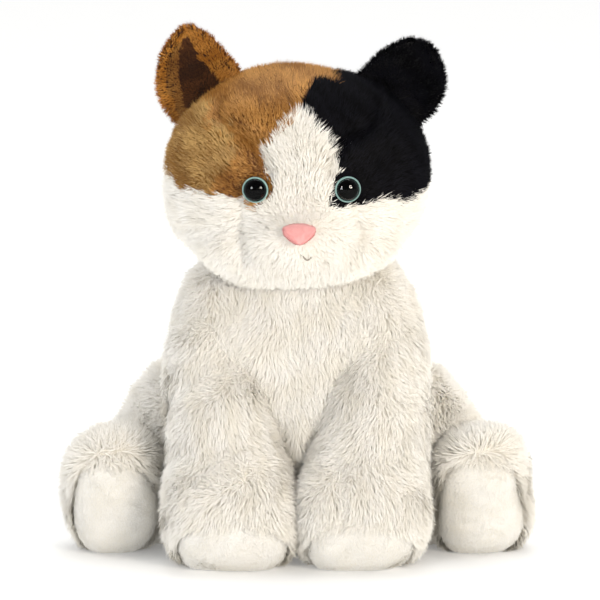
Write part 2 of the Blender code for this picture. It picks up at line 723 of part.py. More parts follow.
def build_hind_leg(side, word, body, pile):
    """A hind leg that lies forward beside the torso, with its sole to the front."""
    lean = Vector((0, -math.sin(FOOT_SOLE_LEAN), -math.cos(FOOT_SOLE_LEAN)))
    sole_point = Vector((side * FOOT_CENTRE[0], FOOT_CENTRE[1], FOOT_CENTRE[2])) + lean * FOOT_SOLE_REACH
    names = (f"{word}_hind_leg_skin", f"{word}_hind_foot_sole", f"{word}_hind_leg_stuffing")
    build_limb(names, hind_leg_field, mm(80, -2, 38), side, [FLOOR, (HIP, (-1, 0, 0))], sole_point, lean, body,
               pile)


def build_tail(body, pile):
    """A tail that curls round behind the seat on the floor."""
    points, radii = smooth_route(TAIL_ROUTE, TAIL_RADII, 14)
    radii = np.minimum(radii, points[:, 2] - mm(0.1))
    tip = points[-1] - points[-2]
    tip /= np.linalg.norm(tip)
    rounded = [(0.5, 0.87), (0.85, 0.53)]
    end_points = [points[-1] + tip * radii[-1] * along for along, _ in rounded]
    end_radii = [radii[-1] * across for _, across in rounded]
    route, sizes = np.vstack([points, end_points]), np.append(radii, end_radii)
    cloth = tube(route, sizes)
    root_cap = min(cloth.faces, key=lambda face: (face.calc_center_median() - Vector(route[0])).length)
    bmesh.ops.delete(cloth, geom=[root_cap], context="FACES_ONLY")
    skin = add_piece("tail_skin", cloth, pile["brown"], body)
    thick = skin.modifiers.new("cloth", "SOLIDIFY")
    thick.thickness = TAIL_FABRIC
    thick.offset = -1.0
    fill_radii = radii[1:-1] - TAIL_FABRIC - mm(1.2)
    add_piece("tail_stuffing", tube(points[1:-1], fill_radii), pile["fill"], body)


clear_scene()
parts = new_collection("plush_cat")
cutters = new_collection("cutters")

FINISHES = {
    "white": material("white_pile", WHITE_PILE),
    "brown": material("brown_pile", BROWN_PILE),
    "black": material("black_pile", BLACK_PILE),
    "lining": material("ear_lining", EAR_LINING),
    "sole": material("sole_plush", SOLE_PLUSH),
    "nose": material("nose_plush", NOSE_PLUSH),
    "eye": material("eye_plastic", EYE_PLASTIC, 0.05),
    "washer": material("washer_plastic", WASHER_PLASTIC, 0.4),
    "fill": material("polyester_fibre", POLYESTER),
    "pouch": material("pouch_cloth", POUCH_CLOTH_COLOUR),
    "pellets": material("pellet_plastic", PELLET_PLASTIC, 0.4),
    "thread": material("thread", THREAD, 0.6),
}

torso = joint_empty("torso_root", (0, 0, 0))
neck = joint_empty("head_turn_axis", NECK, torso)
head = joint_empty("head_nod_axis", NECK, neck)
tail = joint_empty("tail_axis", TAIL_PIVOT, torso)

build_torso(torso, FINISHES)
add_piece("neck_stuffing", ball(NECK, NECK_RADIUS), FINISHES["fill"], neck)
build_head(head, FINISHES)
build_tail(tail, FINISHES)

for sign, word in ((RIGHT, "right"), (LEFT, "left")):
    shoulder = joint_empty(f"{word}_shoulder_axis", (sign * SHOULDER[0], SHOULDER[1], SHOULDER[2]), torso)
    build_front_leg(sign, word, shoulder, FINISHES)
    hip = joint_empty(f"{word}_hip_axis", (sign * HIP[0], HIP[1], HIP[2]), torso)
    build_hind_leg(sign, word, hip, FINISHES)
    ear = joint_empty(f"{word}_ear_axis", sum(ear_corners(sign)) / 2, head)
    ear_tip = RIGHT_EAR_TIP if sign == RIGHT else LEFT_EAR_TIP
    linings = ("lining", "brown") if sign == RIGHT else ("black", "black")
    build_ear(sign, word, ear_tip, ear, FINISHES[linings[0]], FINISHES[linings[1]])
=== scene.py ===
"""Looks for a sitting calico plush cat: backing cloth, cut pile, moulded eyes, nose and soles.

Every stuffed form is a rounded surface worked out from a distance field, in metres, in the same frame as
the design: the cat faces -Y, its own right side is -X, and it sits on z = 0. Each form is covered with
backing cloth in its sewn panels, and each panel grows its own pile as thousands of tapering tufts.
"""

from __future__ import annotations

import logging
import math
from dataclasses import dataclass, field
from enum import Enum
from typing import Callable, Optional, Sequence

import bpy
import numpy as np
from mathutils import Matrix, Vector

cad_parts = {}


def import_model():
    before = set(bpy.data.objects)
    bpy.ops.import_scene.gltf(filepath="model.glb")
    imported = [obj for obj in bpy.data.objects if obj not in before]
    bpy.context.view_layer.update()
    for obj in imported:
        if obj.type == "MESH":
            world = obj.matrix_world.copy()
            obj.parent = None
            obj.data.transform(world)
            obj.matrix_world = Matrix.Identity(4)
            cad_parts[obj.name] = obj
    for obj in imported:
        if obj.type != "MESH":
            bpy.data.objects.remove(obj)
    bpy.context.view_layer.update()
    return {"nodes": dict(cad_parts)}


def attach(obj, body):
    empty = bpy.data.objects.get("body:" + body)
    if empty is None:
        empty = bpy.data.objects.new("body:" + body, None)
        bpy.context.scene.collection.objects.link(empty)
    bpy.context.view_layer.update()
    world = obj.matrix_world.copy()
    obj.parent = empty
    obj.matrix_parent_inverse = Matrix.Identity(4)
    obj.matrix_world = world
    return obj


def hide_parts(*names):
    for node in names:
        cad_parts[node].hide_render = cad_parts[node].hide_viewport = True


LOG = logging.getLogger("plush_cat")
MM = 0.001
Array = np.ndarray
Field = Callable[[Array], Array]
Colour = tuple[float, float, float, float]

PILE_BED = 2.0 * MM                      # the skin lies this far under the design's surface: flattened pile
CLOTH = 1.3 * MM                         # thickness of the backing cloth
FLOOR_GAP = 0.3 * MM                     # between the cloth and the floor
PILE_GAP = 0.25 * MM                     # between the pile and the floor
MIX_DARK, MIX_LIGHT, MIX_RESULT = 6, 7, 2    # a Mix node's colour sockets, by number as they share names


class Side(Enum):
    """The cat's own two sides, as the sign of x."""

    RIGHT = -1
    LEFT = 1

    @property
    def word(self) -> str:
        """The side's name as it stands in the names of pieces."""
        return self.name.lower()

    def mirror(self, p: Array) -> Array:
        """Points that are given for the left side, on this side: x times the side's sign."""
        return p * np.array([self.value, 1.0, 1.0])


def mm(*values: float) -> Array:
    """Millimetres as a point in metres."""
    return np.array(values, dtype=float) * MM


def mm_rows(*rows: Sequence[float]) -> Array:
    """Rows of millimetres as an array in metres."""
    return np.array(rows, dtype=float) * MM


def unit(rows: Array, tiny: float = 1e-12) -> Array:
    """Each vector over its length, to which a tiny length is added so that none is zero."""
    return rows / (np.linalg.norm(rows, axis=-1, keepdims=True) + tiny)


def along_skin(rows: Array, normals: Array) -> Array:
    """Each vector less its share along the skin's normal."""
    return rows - (rows * normals).sum(axis=1)[:, None] * normals


# Colour and nodes

def linear(colour: str) -> Colour:
    """Turns an sRGB hex colour into linear red, green, blue and alpha.

    Args:
        colour: six hex digits, with or without a leading hash sign.

    Returns:
        The four linear values, with alpha 1.
    """
    digits = colour.lstrip("#")
    parts = [int(digits[i:i + 2], 16) / 255.0 for i in (0, 2, 4)]
    straight = [c / 12.92 if c <= 0.04045 else ((c + 0.055) / 1.055) ** 2.4 for c in parts]
    return (straight[0], straight[1], straight[2], 1.0)


def mixed(first: str, second: str, share: float) -> Colour:
    """A linear colour part of the way from one hex colour to another."""
    a, b = np.array(linear(first)), np.array(linear(second))
    return tuple(float(c) for c in a + (b - a) * share)


def add_node(tree: bpy.types.NodeTree, kind: str, settings: Optional[dict] = None,
             **links: object) -> bpy.types.Node:
    """Adds a node, sets its values and links its inputs.

    Args:
        tree: the material's node tree.
        kind: the node's type.
        settings: attribute or input names with their values.
        links: input names, with spaces as underscores, and the output sockets that feed them.

    Returns:
        The new node.
    """
    made = tree.nodes.new(kind)
    for name, value in (settings or {}).items():
        if hasattr(made, name):
            setattr(made, name, value)
        else:
            made.inputs[name].default_value = value
    for name, source in links.items():
        tree.links.new(source, made.inputs[name.replace("_", " ")])
    return made


def blank_material(name: str) -> tuple[bpy.types.Material, bpy.types.Node]:
    """A material with only its Principled shader and output.

    Args:
        name: the material's name.

    Returns:
        The material and its shader node.
    """
    material = bpy.data.materials.new(name)
    material.use_nodes = True
    return material, material.node_tree.nodes["Principled BSDF"]


def mottled(tree: bpy.types.NodeTree, dark: Colour, light: Colour, scale: float,
            detail: float = 2.0) -> tuple[bpy.types.NodeSocket, bpy.types.NodeSocket]:
    """Two colours blended by noise on a piece's own coordinates.

    Args:
        tree: the material's node tree.
        dark: the colour where the noise is low.
        light: the colour where it is high.
        scale: waves of the noise in a metre.
        detail: how many finer layers it has.

    Returns:
        The sockets of the colour and of the noise.
    """
    place = add_node(tree, "ShaderNodeTexCoord").outputs["Object"]
    grain = add_node(tree, "ShaderNodeTexNoise", {"Scale": scale, "Detail": detail}, Vector=place)
    noise = grain.outputs["Fac"]
    blend = add_node(tree, "ShaderNodeMix", {"data_type": "RGBA"})
    blend.inputs[MIX_DARK].default_value = dark
    blend.inputs[MIX_LIGHT].default_value = light
    tree.links.new(noise, blend.inputs[0])
    return blend.outputs[MIX_RESULT], noise


# Distance fields: negative inside, zero on the surface, in metres

def ellipsoid(p: Array, centre: Array, radii: Array) -> Array:
    """Distance to an ellipsoid along the line from its centre: length times (1 - 1 / level)."""
    away = p - centre
    length = np.linalg.norm(away, axis=1) + 1e-9
    level = np.linalg.norm(away / radii, axis=1) + 1e-9
    return length * (1.0 - 1.0 / level)


def rounded_block(p: Array, centre: Array, radii: Array, power: float) -> Array:
    """As an ellipsoid, with its level from a higher power than 2, so that it is squarer."""
    away = p - centre
    length = np.linalg.norm(away, axis=1) + 1e-9
    level = (np.abs(away / radii) ** power).sum(axis=1) ** (1 / power) + 1e-9
    return length * (1.0 - 1.0 / level)


def round_cone(p: Array, start: Array, end: Array, start_radius: float, end_radius: float) -> Array:
    """Distance to a tapering limb with round ends: distance to its axis less the radius there."""
    axis = end - start
    along = np.clip((p - start) @ axis / (axis @ axis), 0.0, 1.0)
    nearest = start + along[:, None] * axis
    return np.linalg.norm(p - nearest, axis=1) - (start_radius + (end_radius - start_radius) * along)


def soft_union(a: Array, b: Array, width: float) -> Array:
    """Union of two fields with a crease of the given width, by a quadratic ease between them."""
    share = np.clip(0.5 + 0.5 * (b - a) / width, 0.0, 1.0)
    return b + (a - b) * share - width * share * (1.0 - share)


def soft_common(a: Array, b: Array, width: float) -> Array:
    """What two fields have in common, with a rounded edge of the given width."""
    return -soft_union(-a, -b, width)


def smooth(x: Array, low: float, high: float) -> Array:
    """Eases from 0 at low to 1 at high, as 3 t squared less 2 t cubed."""
    t = np.clip((x - low) / (high - low), 0.0, 1.0)
    return t * t * (3.0 - 2.0 * t)


def near_path(p: Array, path: Array) -> Array:
    """Distance from each row of p to the nearest of a path's straight stretches."""
    best = np.full(len(p), 1e9)
    for start, end in zip(path[:-1], path[1:]):
        axis = end - start
        along = np.clip((p - start) @ axis / (axis @ axis), 0.0, 1.0)
        best = np.minimum(best, np.linalg.norm(p - (start + along[:, None] * axis), axis=1))
    return best


class Drift:
    """Smooth random vectors over space: a sum of a few sine waves in random directions."""

    WAVES = 8

    def __init__(self, seed: int, size: float) -> None:
        """Draws the waves.

        Args:
            seed: the draw's seed.
            size: the typical wavelength, in metres.
        """
        rng = np.random.default_rng(seed)
        turns = unit(rng.normal(size=(self.WAVES, 3)), 0.0)
        self.turns = turns * (2 * math.pi / size) * rng.uniform(0.6, 1.6, (self.WAVES, 1))
        self.phases = rng.uniform(0, 2 * math.pi, (3, self.WAVES))
        self.pushes = rng.normal(size=(3, self.WAVES)) / math.sqrt(self.WAVES / 2)

    def vector(self, p: Array) -> Array:
        """Three values per point, each about -1 to 1."""
        angle = p @ self.turns.T
        return np.stack([np.sin(angle + self.phases[k]) @ self.pushes[k] for k in range(3)], axis=1)

    def value(self, p: Array) -> Array:
        """One value per point, about -1 to 1."""
        return np.sin(p @ self.turns.T + self.phases[0]) @ self.pushes[0]


# Surfaces

@dataclass
class Surface:
    """A triangle mesh as arrays: points, triangles, normals, and two parameters for each point."""

    points: Array
    triangles: Array
    normals: Array
    chart: Array

    def part(self, keep: Array) -> Surface:
        """The stretch of the surface whose triangles are kept."""
        triangles = self.triangles[keep]
        used, index = np.unique(triangles, return_inverse=True)
        return Surface(self.points[used], index.reshape(-1, 3), self.normals[used], self.chart[used])

    def centres(self) -> Array:
        """The middle of each triangle."""
        return self.points[self.triangles].mean(axis=1)

    def chart_centres(self) -> Array:
        """The two parameters at the middle of each triangle."""
        return self.chart[self.triangles].mean(axis=1)


def with_normals(points: Array, triangles: Array, chart: Array) -> Surface:
    """A surface whose point normals are the area-weighted mean of their triangles'."""
    corners = points[triangles]
    cross = np.cross(corners[:, 1] - corners[:, 0], corners[:, 2] - corners[:, 0])
    total = np.zeros_like(points)
    for corner in range(3):
        np.add.at(total, triangles[:, corner], cross)
    return Surface(points, triangles, unit(total, 1e-15), chart)


def closed_grid(rows: Array, start: Array, end: Array) -> Surface:
    """A closed surface from rings of points and two poles.

    Args:
        rows: ring by ring, each running anticlockwise seen from the end pole. Shape (rings, around, 3).
        start: the pole before the first ring.
        end: the pole after the last ring.

    Returns:
        The surface. Its chart holds the turn, 0 to 1, and the way from start to end, 0 to 1.
    """
    rings, around = rows.shape[:2]
    points = np.vstack([start[None], rows.reshape(-1, 3), end[None]])
    index = 1 + np.arange(rings * around).reshape(rings, around)
    beside = np.roll(index, -1, axis=1)
    low, high = index[:-1].ravel(), index[1:].ravel()
    low_next, high_next = beside[:-1].ravel(), beside[1:].ravel()
    last = len(points) - 1
    triangles = np.vstack([
        np.column_stack([np.zeros(around, int), beside[0], index[0]]),
        np.column_stack([low, low_next, high_next]),
        np.column_stack([low, high_next, high]),
        np.column_stack([np.full(around, last), index[-1], beside[-1]]),
    ])
    turn, way = np.meshgrid(np.arange(around) / around, np.arange(1, rings + 1) / (rings + 1))
    chart = np.vstack([[0.0, 0.0], np.column_stack([turn.ravel(), way.ravel()]), [0.0, 1.0]])
    return with_normals(points, triangles, chart)


def project(directions: Array, centre: Array, form: Field, inset: float) -> Array:
    """Where each ray from the centre meets the surface that lies inset under the field's own.

    The crossing is bracketed from nought to farther than any form reaches, and the bracket is halved until
    it is some nanometres wide.
    """
    low = np.zeros(len(directions))
    high = np.full(len(directions), 140 * MM)
    for _ in range(26):
        middle = 0.5 * (low + high)
        outside = form(centre + directions * middle[:, None]) + inset > 0
        high = np.where(outside, middle, high)
        low = np.where(outside, low, middle)
    return centre + directions * low[:, None]


def round_surface(form: Field, centre: Array, inset: float, around: int = 144, rings: int = 96) -> Surface:
    """A closed form: the directions of a sphere's grid, each moved out to where the field is inset.

    Args:
        form: the distance field.
        centre: a point inside, from which all of the surface is seen.
        inset: how far under the field's own surface it lies.
        around: points in each ring.
        rings: rings between the two poles, which lie below and above the centre.

    Returns:
        The surface.
    """
    turn = np.arange(around) / around * 2 * math.pi
    fall = math.pi * (1 - np.arange(1, rings + 1) / (rings + 1))
    rows = np.stack([np.sin(fall)[:, None] * np.cos(turn), np.sin(fall)[:, None] * np.sin(turn),
                     np.repeat(np.cos(fall)[:, None], around, axis=1)], axis=-1)
    directions = np.vstack([rows.reshape(-1, 3), [[0, 0, -1.0]], [[0, 0, 1.0]]])
    points = project(directions, centre, form, inset)
    return closed_grid(points[:-2].reshape(rings, around, 3), points[-2], points[-1])


def swept_surface(route: Array, radii: Array, around: int = 40) -> Surface:
    """A closed round tube: each ring is a circle of its radius in the plane across the route there."""
    along = unit(np.gradient(route, axis=0), 0.0)
    side = unit(np.cross(along, [0, 0, 1.0]), 0.0)
    rise = np.cross(along, side)
    turn = np.arange(around) / around * 2 * math.pi
    ring = np.cos(turn)[:, None, None] * side + np.sin(turn)[:, None, None] * rise
    rows = route[:, None, :] + np.transpose(ring, (1, 0, 2)) * radii[:, None, None]
    return closed_grid(rows, route[0] - along[0] * radii[0] * 0.4, route[-1] + along[-1] * radii[-1] * 0.6)


def smooth_route(points: Sequence[Array], values: Sequence[float], count: int) -> tuple[Array, Array]:
    """Catmull-Rom curve through points, with a value eased along it the same way."""
    rows = np.column_stack([np.array(points), np.array(values)])
    padded = np.vstack([2 * rows[0] - rows[1], rows, 2 * rows[-1] - rows[-2]])
    steps = np.linspace(0, len(rows) - 1 - 1e-9, count)
    index = steps.astype(int)
    t = (steps - index)[:, None]
    a, b, c, d = (padded[index + k] for k in range(4))
    bend, twist = 2 * a - 5 * b + 4 * c - d, 3 * b - 3 * c + d - a
    made = 0.5 * (2 * b + (c - a) * t + bend * t ** 2 + twist * t ** 3)
    return made[:, :3], made[:, 3]


# Meshes

def mesh_object(name: str, points: Array, triangles: Array, materials: Sequence[bpy.types.Material],
                shades: Optional[Array] = None) -> bpy.types.Object:
    """An object made from arrays, at the origin, shaded smooth.

    Args:
        name: the piece's name.
        points: its points, in metres.
        triangles: three point numbers a row.
        materials: its material slots.
        shades: the slot of each triangle, if not all are the first.

    Returns:
        The object, linked to the scene.
    """
    mesh = bpy.data.meshes.new(name)
    mesh.vertices.add(len(points))
    mesh.vertices.foreach_set("co", points.astype(np.float32).ravel())
    mesh.loops.add(triangles.size)
    mesh.loops.foreach_set("vertex_index", triangles.astype(np.int32).ravel())
    mesh.polygons.add(len(triangles))
    mesh.polygons.foreach_set("loop_start", np.arange(0, triangles.size, 3, dtype=np.int32))
    for material in materials:
        mesh.materials.append(material)
    if shades is not None:
        mesh.polygons.foreach_set("material_index", shades.astype(np.int32))
    mesh.update(calc_edges=True)
    mesh.shade_smooth()
    made = bpy.data.objects.new(name, mesh)
    bpy.context.scene.collection.objects.link(made)
    return made


def cloth_piece(name: str, surface: Surface, material: bpy.types.Material, node: str, body: str,
                thickness: float = CLOTH) -> bpy.types.Object:
    """A sewn panel: a stretch of surface with the cloth's thickness under it, closed by Solidify.

    Args:
        name: the piece's name.
        surface: the panel's outer face.
        material: the backing cloth.
        node: the design's node that it replaces.
        body: the body that it moves with.
        thickness: the cloth's thickness, in metres.

    Returns:
        The panel.
    """
    piece = mesh_object(name, surface.points, surface.triangles, [material])
    thick = piece.modifiers.new("cloth", "SOLIDIFY")
    thick.thickness = thickness
    thick.offset = -1.0
    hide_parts(node)
    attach(piece, body)
    LOG.info("%s: %d triangles", name, len(surface.triangles))
    return piece


# Finishes

@dataclass(frozen=True)
class PileFinish:
    """Cut polyester pile. Each tuft is darker at its root than at its tip, and tufts differ in shade."""

    name: str
    root: tuple[str, str]
    tip: tuple[str, str]
    roughness: float = 0.7
    sheen: float = 0.25
    sheen_tint: str = "#FFFFFF"
    specular: float = 0.3
    variants: int = 4

    def shades(self) -> list[bpy.types.Material]:
        """One material for each variant's root and then one for each variant's tip."""
        made = []
        for level, pair in (("root", self.root), ("tip", self.tip)):
            for index in range(self.variants):
                share = index / (self.variants - 1)
                material, shader = blank_material(f"{self.name}_{level}_{index + 1}")
                shader.inputs["Base Color"].default_value = mixed(*pair, share)
                shader.inputs["Roughness"].default_value = self.roughness
                shader.inputs["Specular IOR Level"].default_value = self.specular
                shader.inputs["Sheen Weight"].default_value = self.sheen
                shader.inputs["Sheen Roughness"].default_value = 0.5
                shader.inputs["Sheen Tint"].default_value = linear(self.sheen_tint)
                made.append(material)
        return made


@dataclass(frozen=True)
class BackingFinish:
    """Warp-knit backing cloth, which shows between the tufts as a soft ground; a backing darker than its
    pile's roots is painted shade there.
    """

    name: str
    dark: str
    light: str
    stitch: float = 1.1                  # mm between knitted loops

    def material(self) -> bpy.types.Material:
        """A ground mottled every 6 mm or so, with the small regular bumps of a knit."""
        material, shader = blank_material(self.name)
        tree = material.node_tree
        colour = mottled(tree, linear(self.dark), linear(self.light), 160.0, 3.0)[0]
        place = add_node(tree, "ShaderNodeTexCoord").outputs["Object"]
        loops = add_node(tree, "ShaderNodeTexVoronoi", {"Scale": 1000.0 / self.stitch}, Vector=place)
        bump = add_node(tree, "ShaderNodeBump", {"Strength": 0.4, "Distance": 0.4 * MM},
                        Height=loops.outputs["Distance"])
        tree.links.new(colour, shader.inputs["Base Color"])
        tree.links.new(bump.outputs["Normal"], shader.inputs["Normal"])
        shader.inputs["Roughness"].default_value = 0.95
        shader.inputs["Sheen Weight"].default_value = 0.2
        return material


WHITE_PILE = PileFinish("white_polyester_pile", ("#F8F3E8", "#FCF8EF"), ("#FBF7ED", "#FFFCF5"), sheen=0.15)
SOLE_PILE = PileFinish("white_velour_pile", ("#F8F4E9", "#FBF8F0"), ("#FCF9F1", "#FFFDF8"), sheen=0.2)
BROWN_PILE = PileFinish("ginger_polyester_pile", ("#6E4014", "#86531C"), ("#9A6424", "#D69C50"),
                        roughness=0.5, sheen=0.1, sheen_tint="#E8C088", specular=0.35)
# Lighter ginger pile: a painted highlight on the ginger crown's outer temple.
GINGER_HIGHLIGHT_PILE = PileFinish("golden_polyester_pile", ("#744C1C", "#8C6228"), ("#96682A", "#DAB06A"),
                       roughness=0.5, sheen=0.12, sheen_tint="#F0D8A8", specular=0.35)
RIM_PILE = PileFinish("orange_polyester_pile", ("#8A5118", "#A0662A"), ("#AC6C22", "#D2913E"),
                      roughness=0.55, sheen=0.15, sheen_tint="#E8B878", specular=0.3)
# Near black-brown ear lining pile: painted shade in the ear's cupped hollow.
HOLLOW_SHADE_PILE = PileFinish("dark_ear_lining_pile", ("#2A160A", "#3E220E"), ("#42240F", "#623A1A"), sheen=0.05)
TAN_PILE = PileFinish("tan_ear_lining_pile", ("#6E4218", "#8A5820"), ("#8A5A26", "#B07C3C"), sheen=0.1)
BLACK_PILE = PileFinish("black_polyester_pile", ("#030305", "#060609"), ("#060609", "#15151C"),
                        roughness=0.6, sheen=0.01, sheen_tint="#9098B0", specular=0.1)
NOSE_PILE = PileFinish("pink_velour_pile", ("#F8B4B2", "#FABEBB"), ("#FCC2BF", "#FFD4D0"), sheen=0.2)


class Palette:
    """All finishes as materials, each made once."""

    def __init__(self) -> None:
        """Makes the backing cloths and the pile shades."""
        # The white and sole backings are a touch darker than their piles' roots: painted shade between the
        # tufts.
        self.white = BackingFinish("white_knit_backing", "#F2EDDF", "#F9F5EA").material()
        self.brown = BackingFinish("ginger_knit_backing", "#6A4016", "#8A5820").material()
        self.black = BackingFinish("black_knit_backing", "#060608", "#0E0E12").material()
        # The ear lining's backing is as dark as the hollow's pile: painted shade.
        self.lining = BackingFinish("ear_lining_backing", "#2A160A", "#42240F").material()
        self.sole = BackingFinish("sole_velour_backing", "#F4F1EA", "#FBF9F4", stitch=0.6).material()
        self.nose = BackingFinish("nose_velour_backing", "#F8B2B0", "#FBC0BC", stitch=0.6).material()
        self.made: dict[str, list[bpy.types.Material]] = {}

    def shades(self, finish: PileFinish) -> list[bpy.types.Material]:
        """The shade materials of a pile, made the first time that they are asked for."""
        if finish.name not in self.made:
            self.made[finish.name] = finish.shades()
        return self.made[finish.name]


# Pile

@dataclass
class Roots:
    """Where tufts stand: points, skin normals and the surface's two parameters."""

    points: Array
    normals: Array
    chart: Array

    def chosen(self, mask: Array) -> Roots:
        """Only the roots that the mask holds."""
        return Roots(self.points[mask], self.normals[mask], self.chart[mask])


RootValues = Callable[[Roots], Array]


@dataclass(frozen=True)
class Coat:
    """How pile grows: sizes in mm, lean in degrees from the skin's normal, tufts per square mm."""

    STRIP = ((0, 1, 3), (0, 3, 2), (2, 3, 4))    # a tuft's three triangles over its five points
    LEANS = (8.0, 82.0)                  # the least and the greatest lean
    LEAN_DRIFT = (5.0, 9.0)              # degrees that the lean drifts, and over how many mm
    LEAN_SCATTER = 7.0                   # degrees that it differs from tuft to tuft
    BENDS = (0.8, 1.2)                   # shares of the lean at a tuft's root stretch and at its tip stretch
    LENGTHS = (0.72, 1.12)               # the shortest and the longest tuft, as shares of the length
    WIDTHS = (0.7, 1.25)                 # the narrowest and the widest, as shares of the width
    NARROWING = 0.8                      # width at the bend, as a share of the root's
    GATHERING = (0.35, 0.65)             # shares of the way to the lock's middle, at the bend and at the tip
    ROOT_DEPTH = 0.4                     # how far a root stands in the skin
    SHADING = (0.75, 0.25)               # shares of the skin's and of the strip's own normal in its shading
    TONES = (0.28, 0.22)                 # how much the shade drifts over 17 mm and from tuft to tuft

    length: float = 8.6
    width: float = 0.56
    lean: float = 58.0
    per_mm2: float = 2.45
    clump: float = 4.2                   # spacing of the locks that tips gather into
    gather: float = 0.15                 # how far a tip moves towards its lock
    stray: float = 0.2                   # how much one tuft's direction differs from its neighbour's
    swirl: float = 0.22                  # how much the nap wanders over the panel
    swirl_size: float = 26.0
    roll: float = 22.0                   # degrees that a tuft's flat side may turn

    def grow(self, name: str, surface: Surface, finishes: Sequence[PileFinish], palette: Palette, seed: int,
             comb: RootValues, keep: Optional[RootValues] = None, trim: Optional[RootValues] = None,
             paint: Optional[RootValues] = None) -> bpy.types.Object:
        """Covers a surface with tufts.

        Args:
            name: the piece's name.
            surface: the skin that the tufts stand on.
            finishes: the pile finishes that are used.
            palette: where their materials are kept.
            seed: the draw's seed.
            comb: the way that the nap lies at each root, before it is laid onto the skin.
            keep: the chance from 0 to 1 that a tuft grows, 1 everywhere if None.
            trim: a factor on its length, 1 everywhere if None.
            paint: the number of each tuft's finish, 0 everywhere if None.

        Returns:
            The pile as one object.
        """
        rng = np.random.default_rng(seed)
        roots = self.scatter(surface, rng)
        if keep is not None:
            roots = roots.chosen(rng.random(len(roots.points)) < keep(roots))
        nap = self.lie(roots, comb, seed, rng)
        points, shading = self.strips(roots, nap, trim, seed, rng)
        starts = (np.arange(len(points)) * points.shape[1])[:, None, None]
        triangles = (starts + np.array(self.STRIP)[None]).reshape(-1, 3)
        shades, slots = self.pick_shades(roots, finishes, palette, rng, seed, paint)
        piece = mesh_object(name, points.reshape(-1, 3), triangles, slots, shades)
        shading = np.repeat(shading, points.shape[1], axis=0)
        piece.data.normals_split_custom_set_from_vertices(shading.tolist())
        LOG.info("%s: %d tufts", name, len(points))
        return piece

    def lie(self, roots: Roots, comb: RootValues, seed: int, rng: np.random.Generator) -> Array:
        """The way that each tuft leans along the skin: the nap, which wanders, and each tuft's own stray."""
        wander = Drift(seed + 1, self.swirl_size * MM).vector(roots.points)
        nap = unit(comb(roots)) + wander * self.swirl + rng.normal(size=roots.points.shape) * self.stray
        return unit(along_skin(nap, roots.normals))

    def strips(self, roots: Roots, nap: Array, trim: Optional[RootValues], seed: int,
               rng: np.random.Generator) -> tuple[Array, Array]:
        """Works out the tufts, each two joined flat stretches that narrow to a point.

        A tuft leaves its root at four fifths of its lean and bends over to more than all of it, and its tip
        moves towards the middle of the lock that it belongs to. It is shaded mostly as the skin under it, so
        that the pile reads as one soft surface.

        Args:
            roots: where the tufts stand.
            nap: the way that each leans along the skin.
            trim: a factor on the length, or None.
            seed: the draw's seed.
            rng: the pile's random numbers.

        Returns:
            Five points for each tuft, shape (tufts, 5, 3), and the normal that each tuft is shaded with.
        """
        count, normal = len(roots.points), roots.normals
        drift, drift_size = self.LEAN_DRIFT
        lift = Drift(seed + 2, drift_size * MM).value(roots.points) * drift
        lift = lift + rng.normal(size=count) * self.LEAN_SCATTER
        lean = np.radians(np.clip(self.lean + lift, *self.LEANS))[:, None]
        first, second = (normal * np.cos(lean * bend) + nap * np.sin(lean * bend) for bend in self.BENDS)
        length = self.length * MM * rng.uniform(*self.LENGTHS, count)
        if trim is not None:
            length = length * trim(roots)
        reach = length[:, None] * 0.5
        pull = along_skin(self.lock_offset(roots.points), normal) * self.gather
        root = roots.points - normal * self.ROOT_DEPTH * MM
        middle = root + first * reach + pull * self.GATHERING[0]
        tip = middle + second * reach + pull * self.GATHERING[1]
        across = unit(np.cross(first, normal))
        turn = np.radians(rng.uniform(-self.roll, self.roll, count))[:, None]
        across = across * np.cos(turn) + np.cross(across, first) * np.sin(turn)
        half = across * (self.width * MM * 0.5) * rng.uniform(*self.WIDTHS, count)[:, None]
        points = np.stack([root - half, root + half, middle - half * self.NARROWING,
                           middle + half * self.NARROWING, tip], axis=1)
        points[:, :, 2] = np.maximum(points[:, :, 2], PILE_GAP)
        facing = unit(np.cross(across, second))
        return points, unit(normal * self.SHADING[0] + facing * self.SHADING[1])

    def scatter(self, surface: Surface, rng: np.random.Generator) -> Roots:
        """Random roots, as many on each triangle as its area asks for."""
        corners = surface.points[surface.triangles]
        cross = np.cross(corners[:, 1] - corners[:, 0], corners[:, 2] - corners[:, 0])
        area = 0.5 * np.linalg.norm(cross, axis=1)
        count = int(area.sum() / MM ** 2 * self.per_mm2)
        pick = rng.choice(len(area), size=count, p=area / area.sum())
        u, v = rng.random(count), rng.random(count)
        over = u + v > 1
        u, v = np.where(over, 1 - u, u), np.where(over, 1 - v, v)
        weights = np.column_stack([1 - u - v, u, v])[:, :, None]
        chosen = surface.triangles[pick]
        normals = unit((surface.normals[chosen] * weights).sum(axis=1))
        return Roots((surface.points[chosen] * weights).sum(axis=1), normals,
                     (surface.chart[chosen] * weights).sum(axis=1))

    def lock_offset(self, points: Array) -> Array:
        """The way from each root to the middle of its lock.

        Space is cut into cubes of the locks' spacing, after a wavy shift that hides the grid, and each
        cube's lock lies at a random place in it, found by hashing the cube's three numbers.
        """
        size = self.clump * MM
        shifted = points + Drift(77, size * 3.1).vector(points) * size * 0.6
        cell = np.floor(shifted / size).astype(np.int64)
        mixed_up = (cell[:, 0] * 73856093) ^ (cell[:, 1] * 19349663) ^ (cell[:, 2] * 83492791)
        parts = [((mixed_up * factor) % 1009) / 1009.0 for factor in (1, 7919, 104729)]
        centre = (cell + 0.2 + 0.6 * np.stack(parts, axis=1)) * size
        return centre - shifted

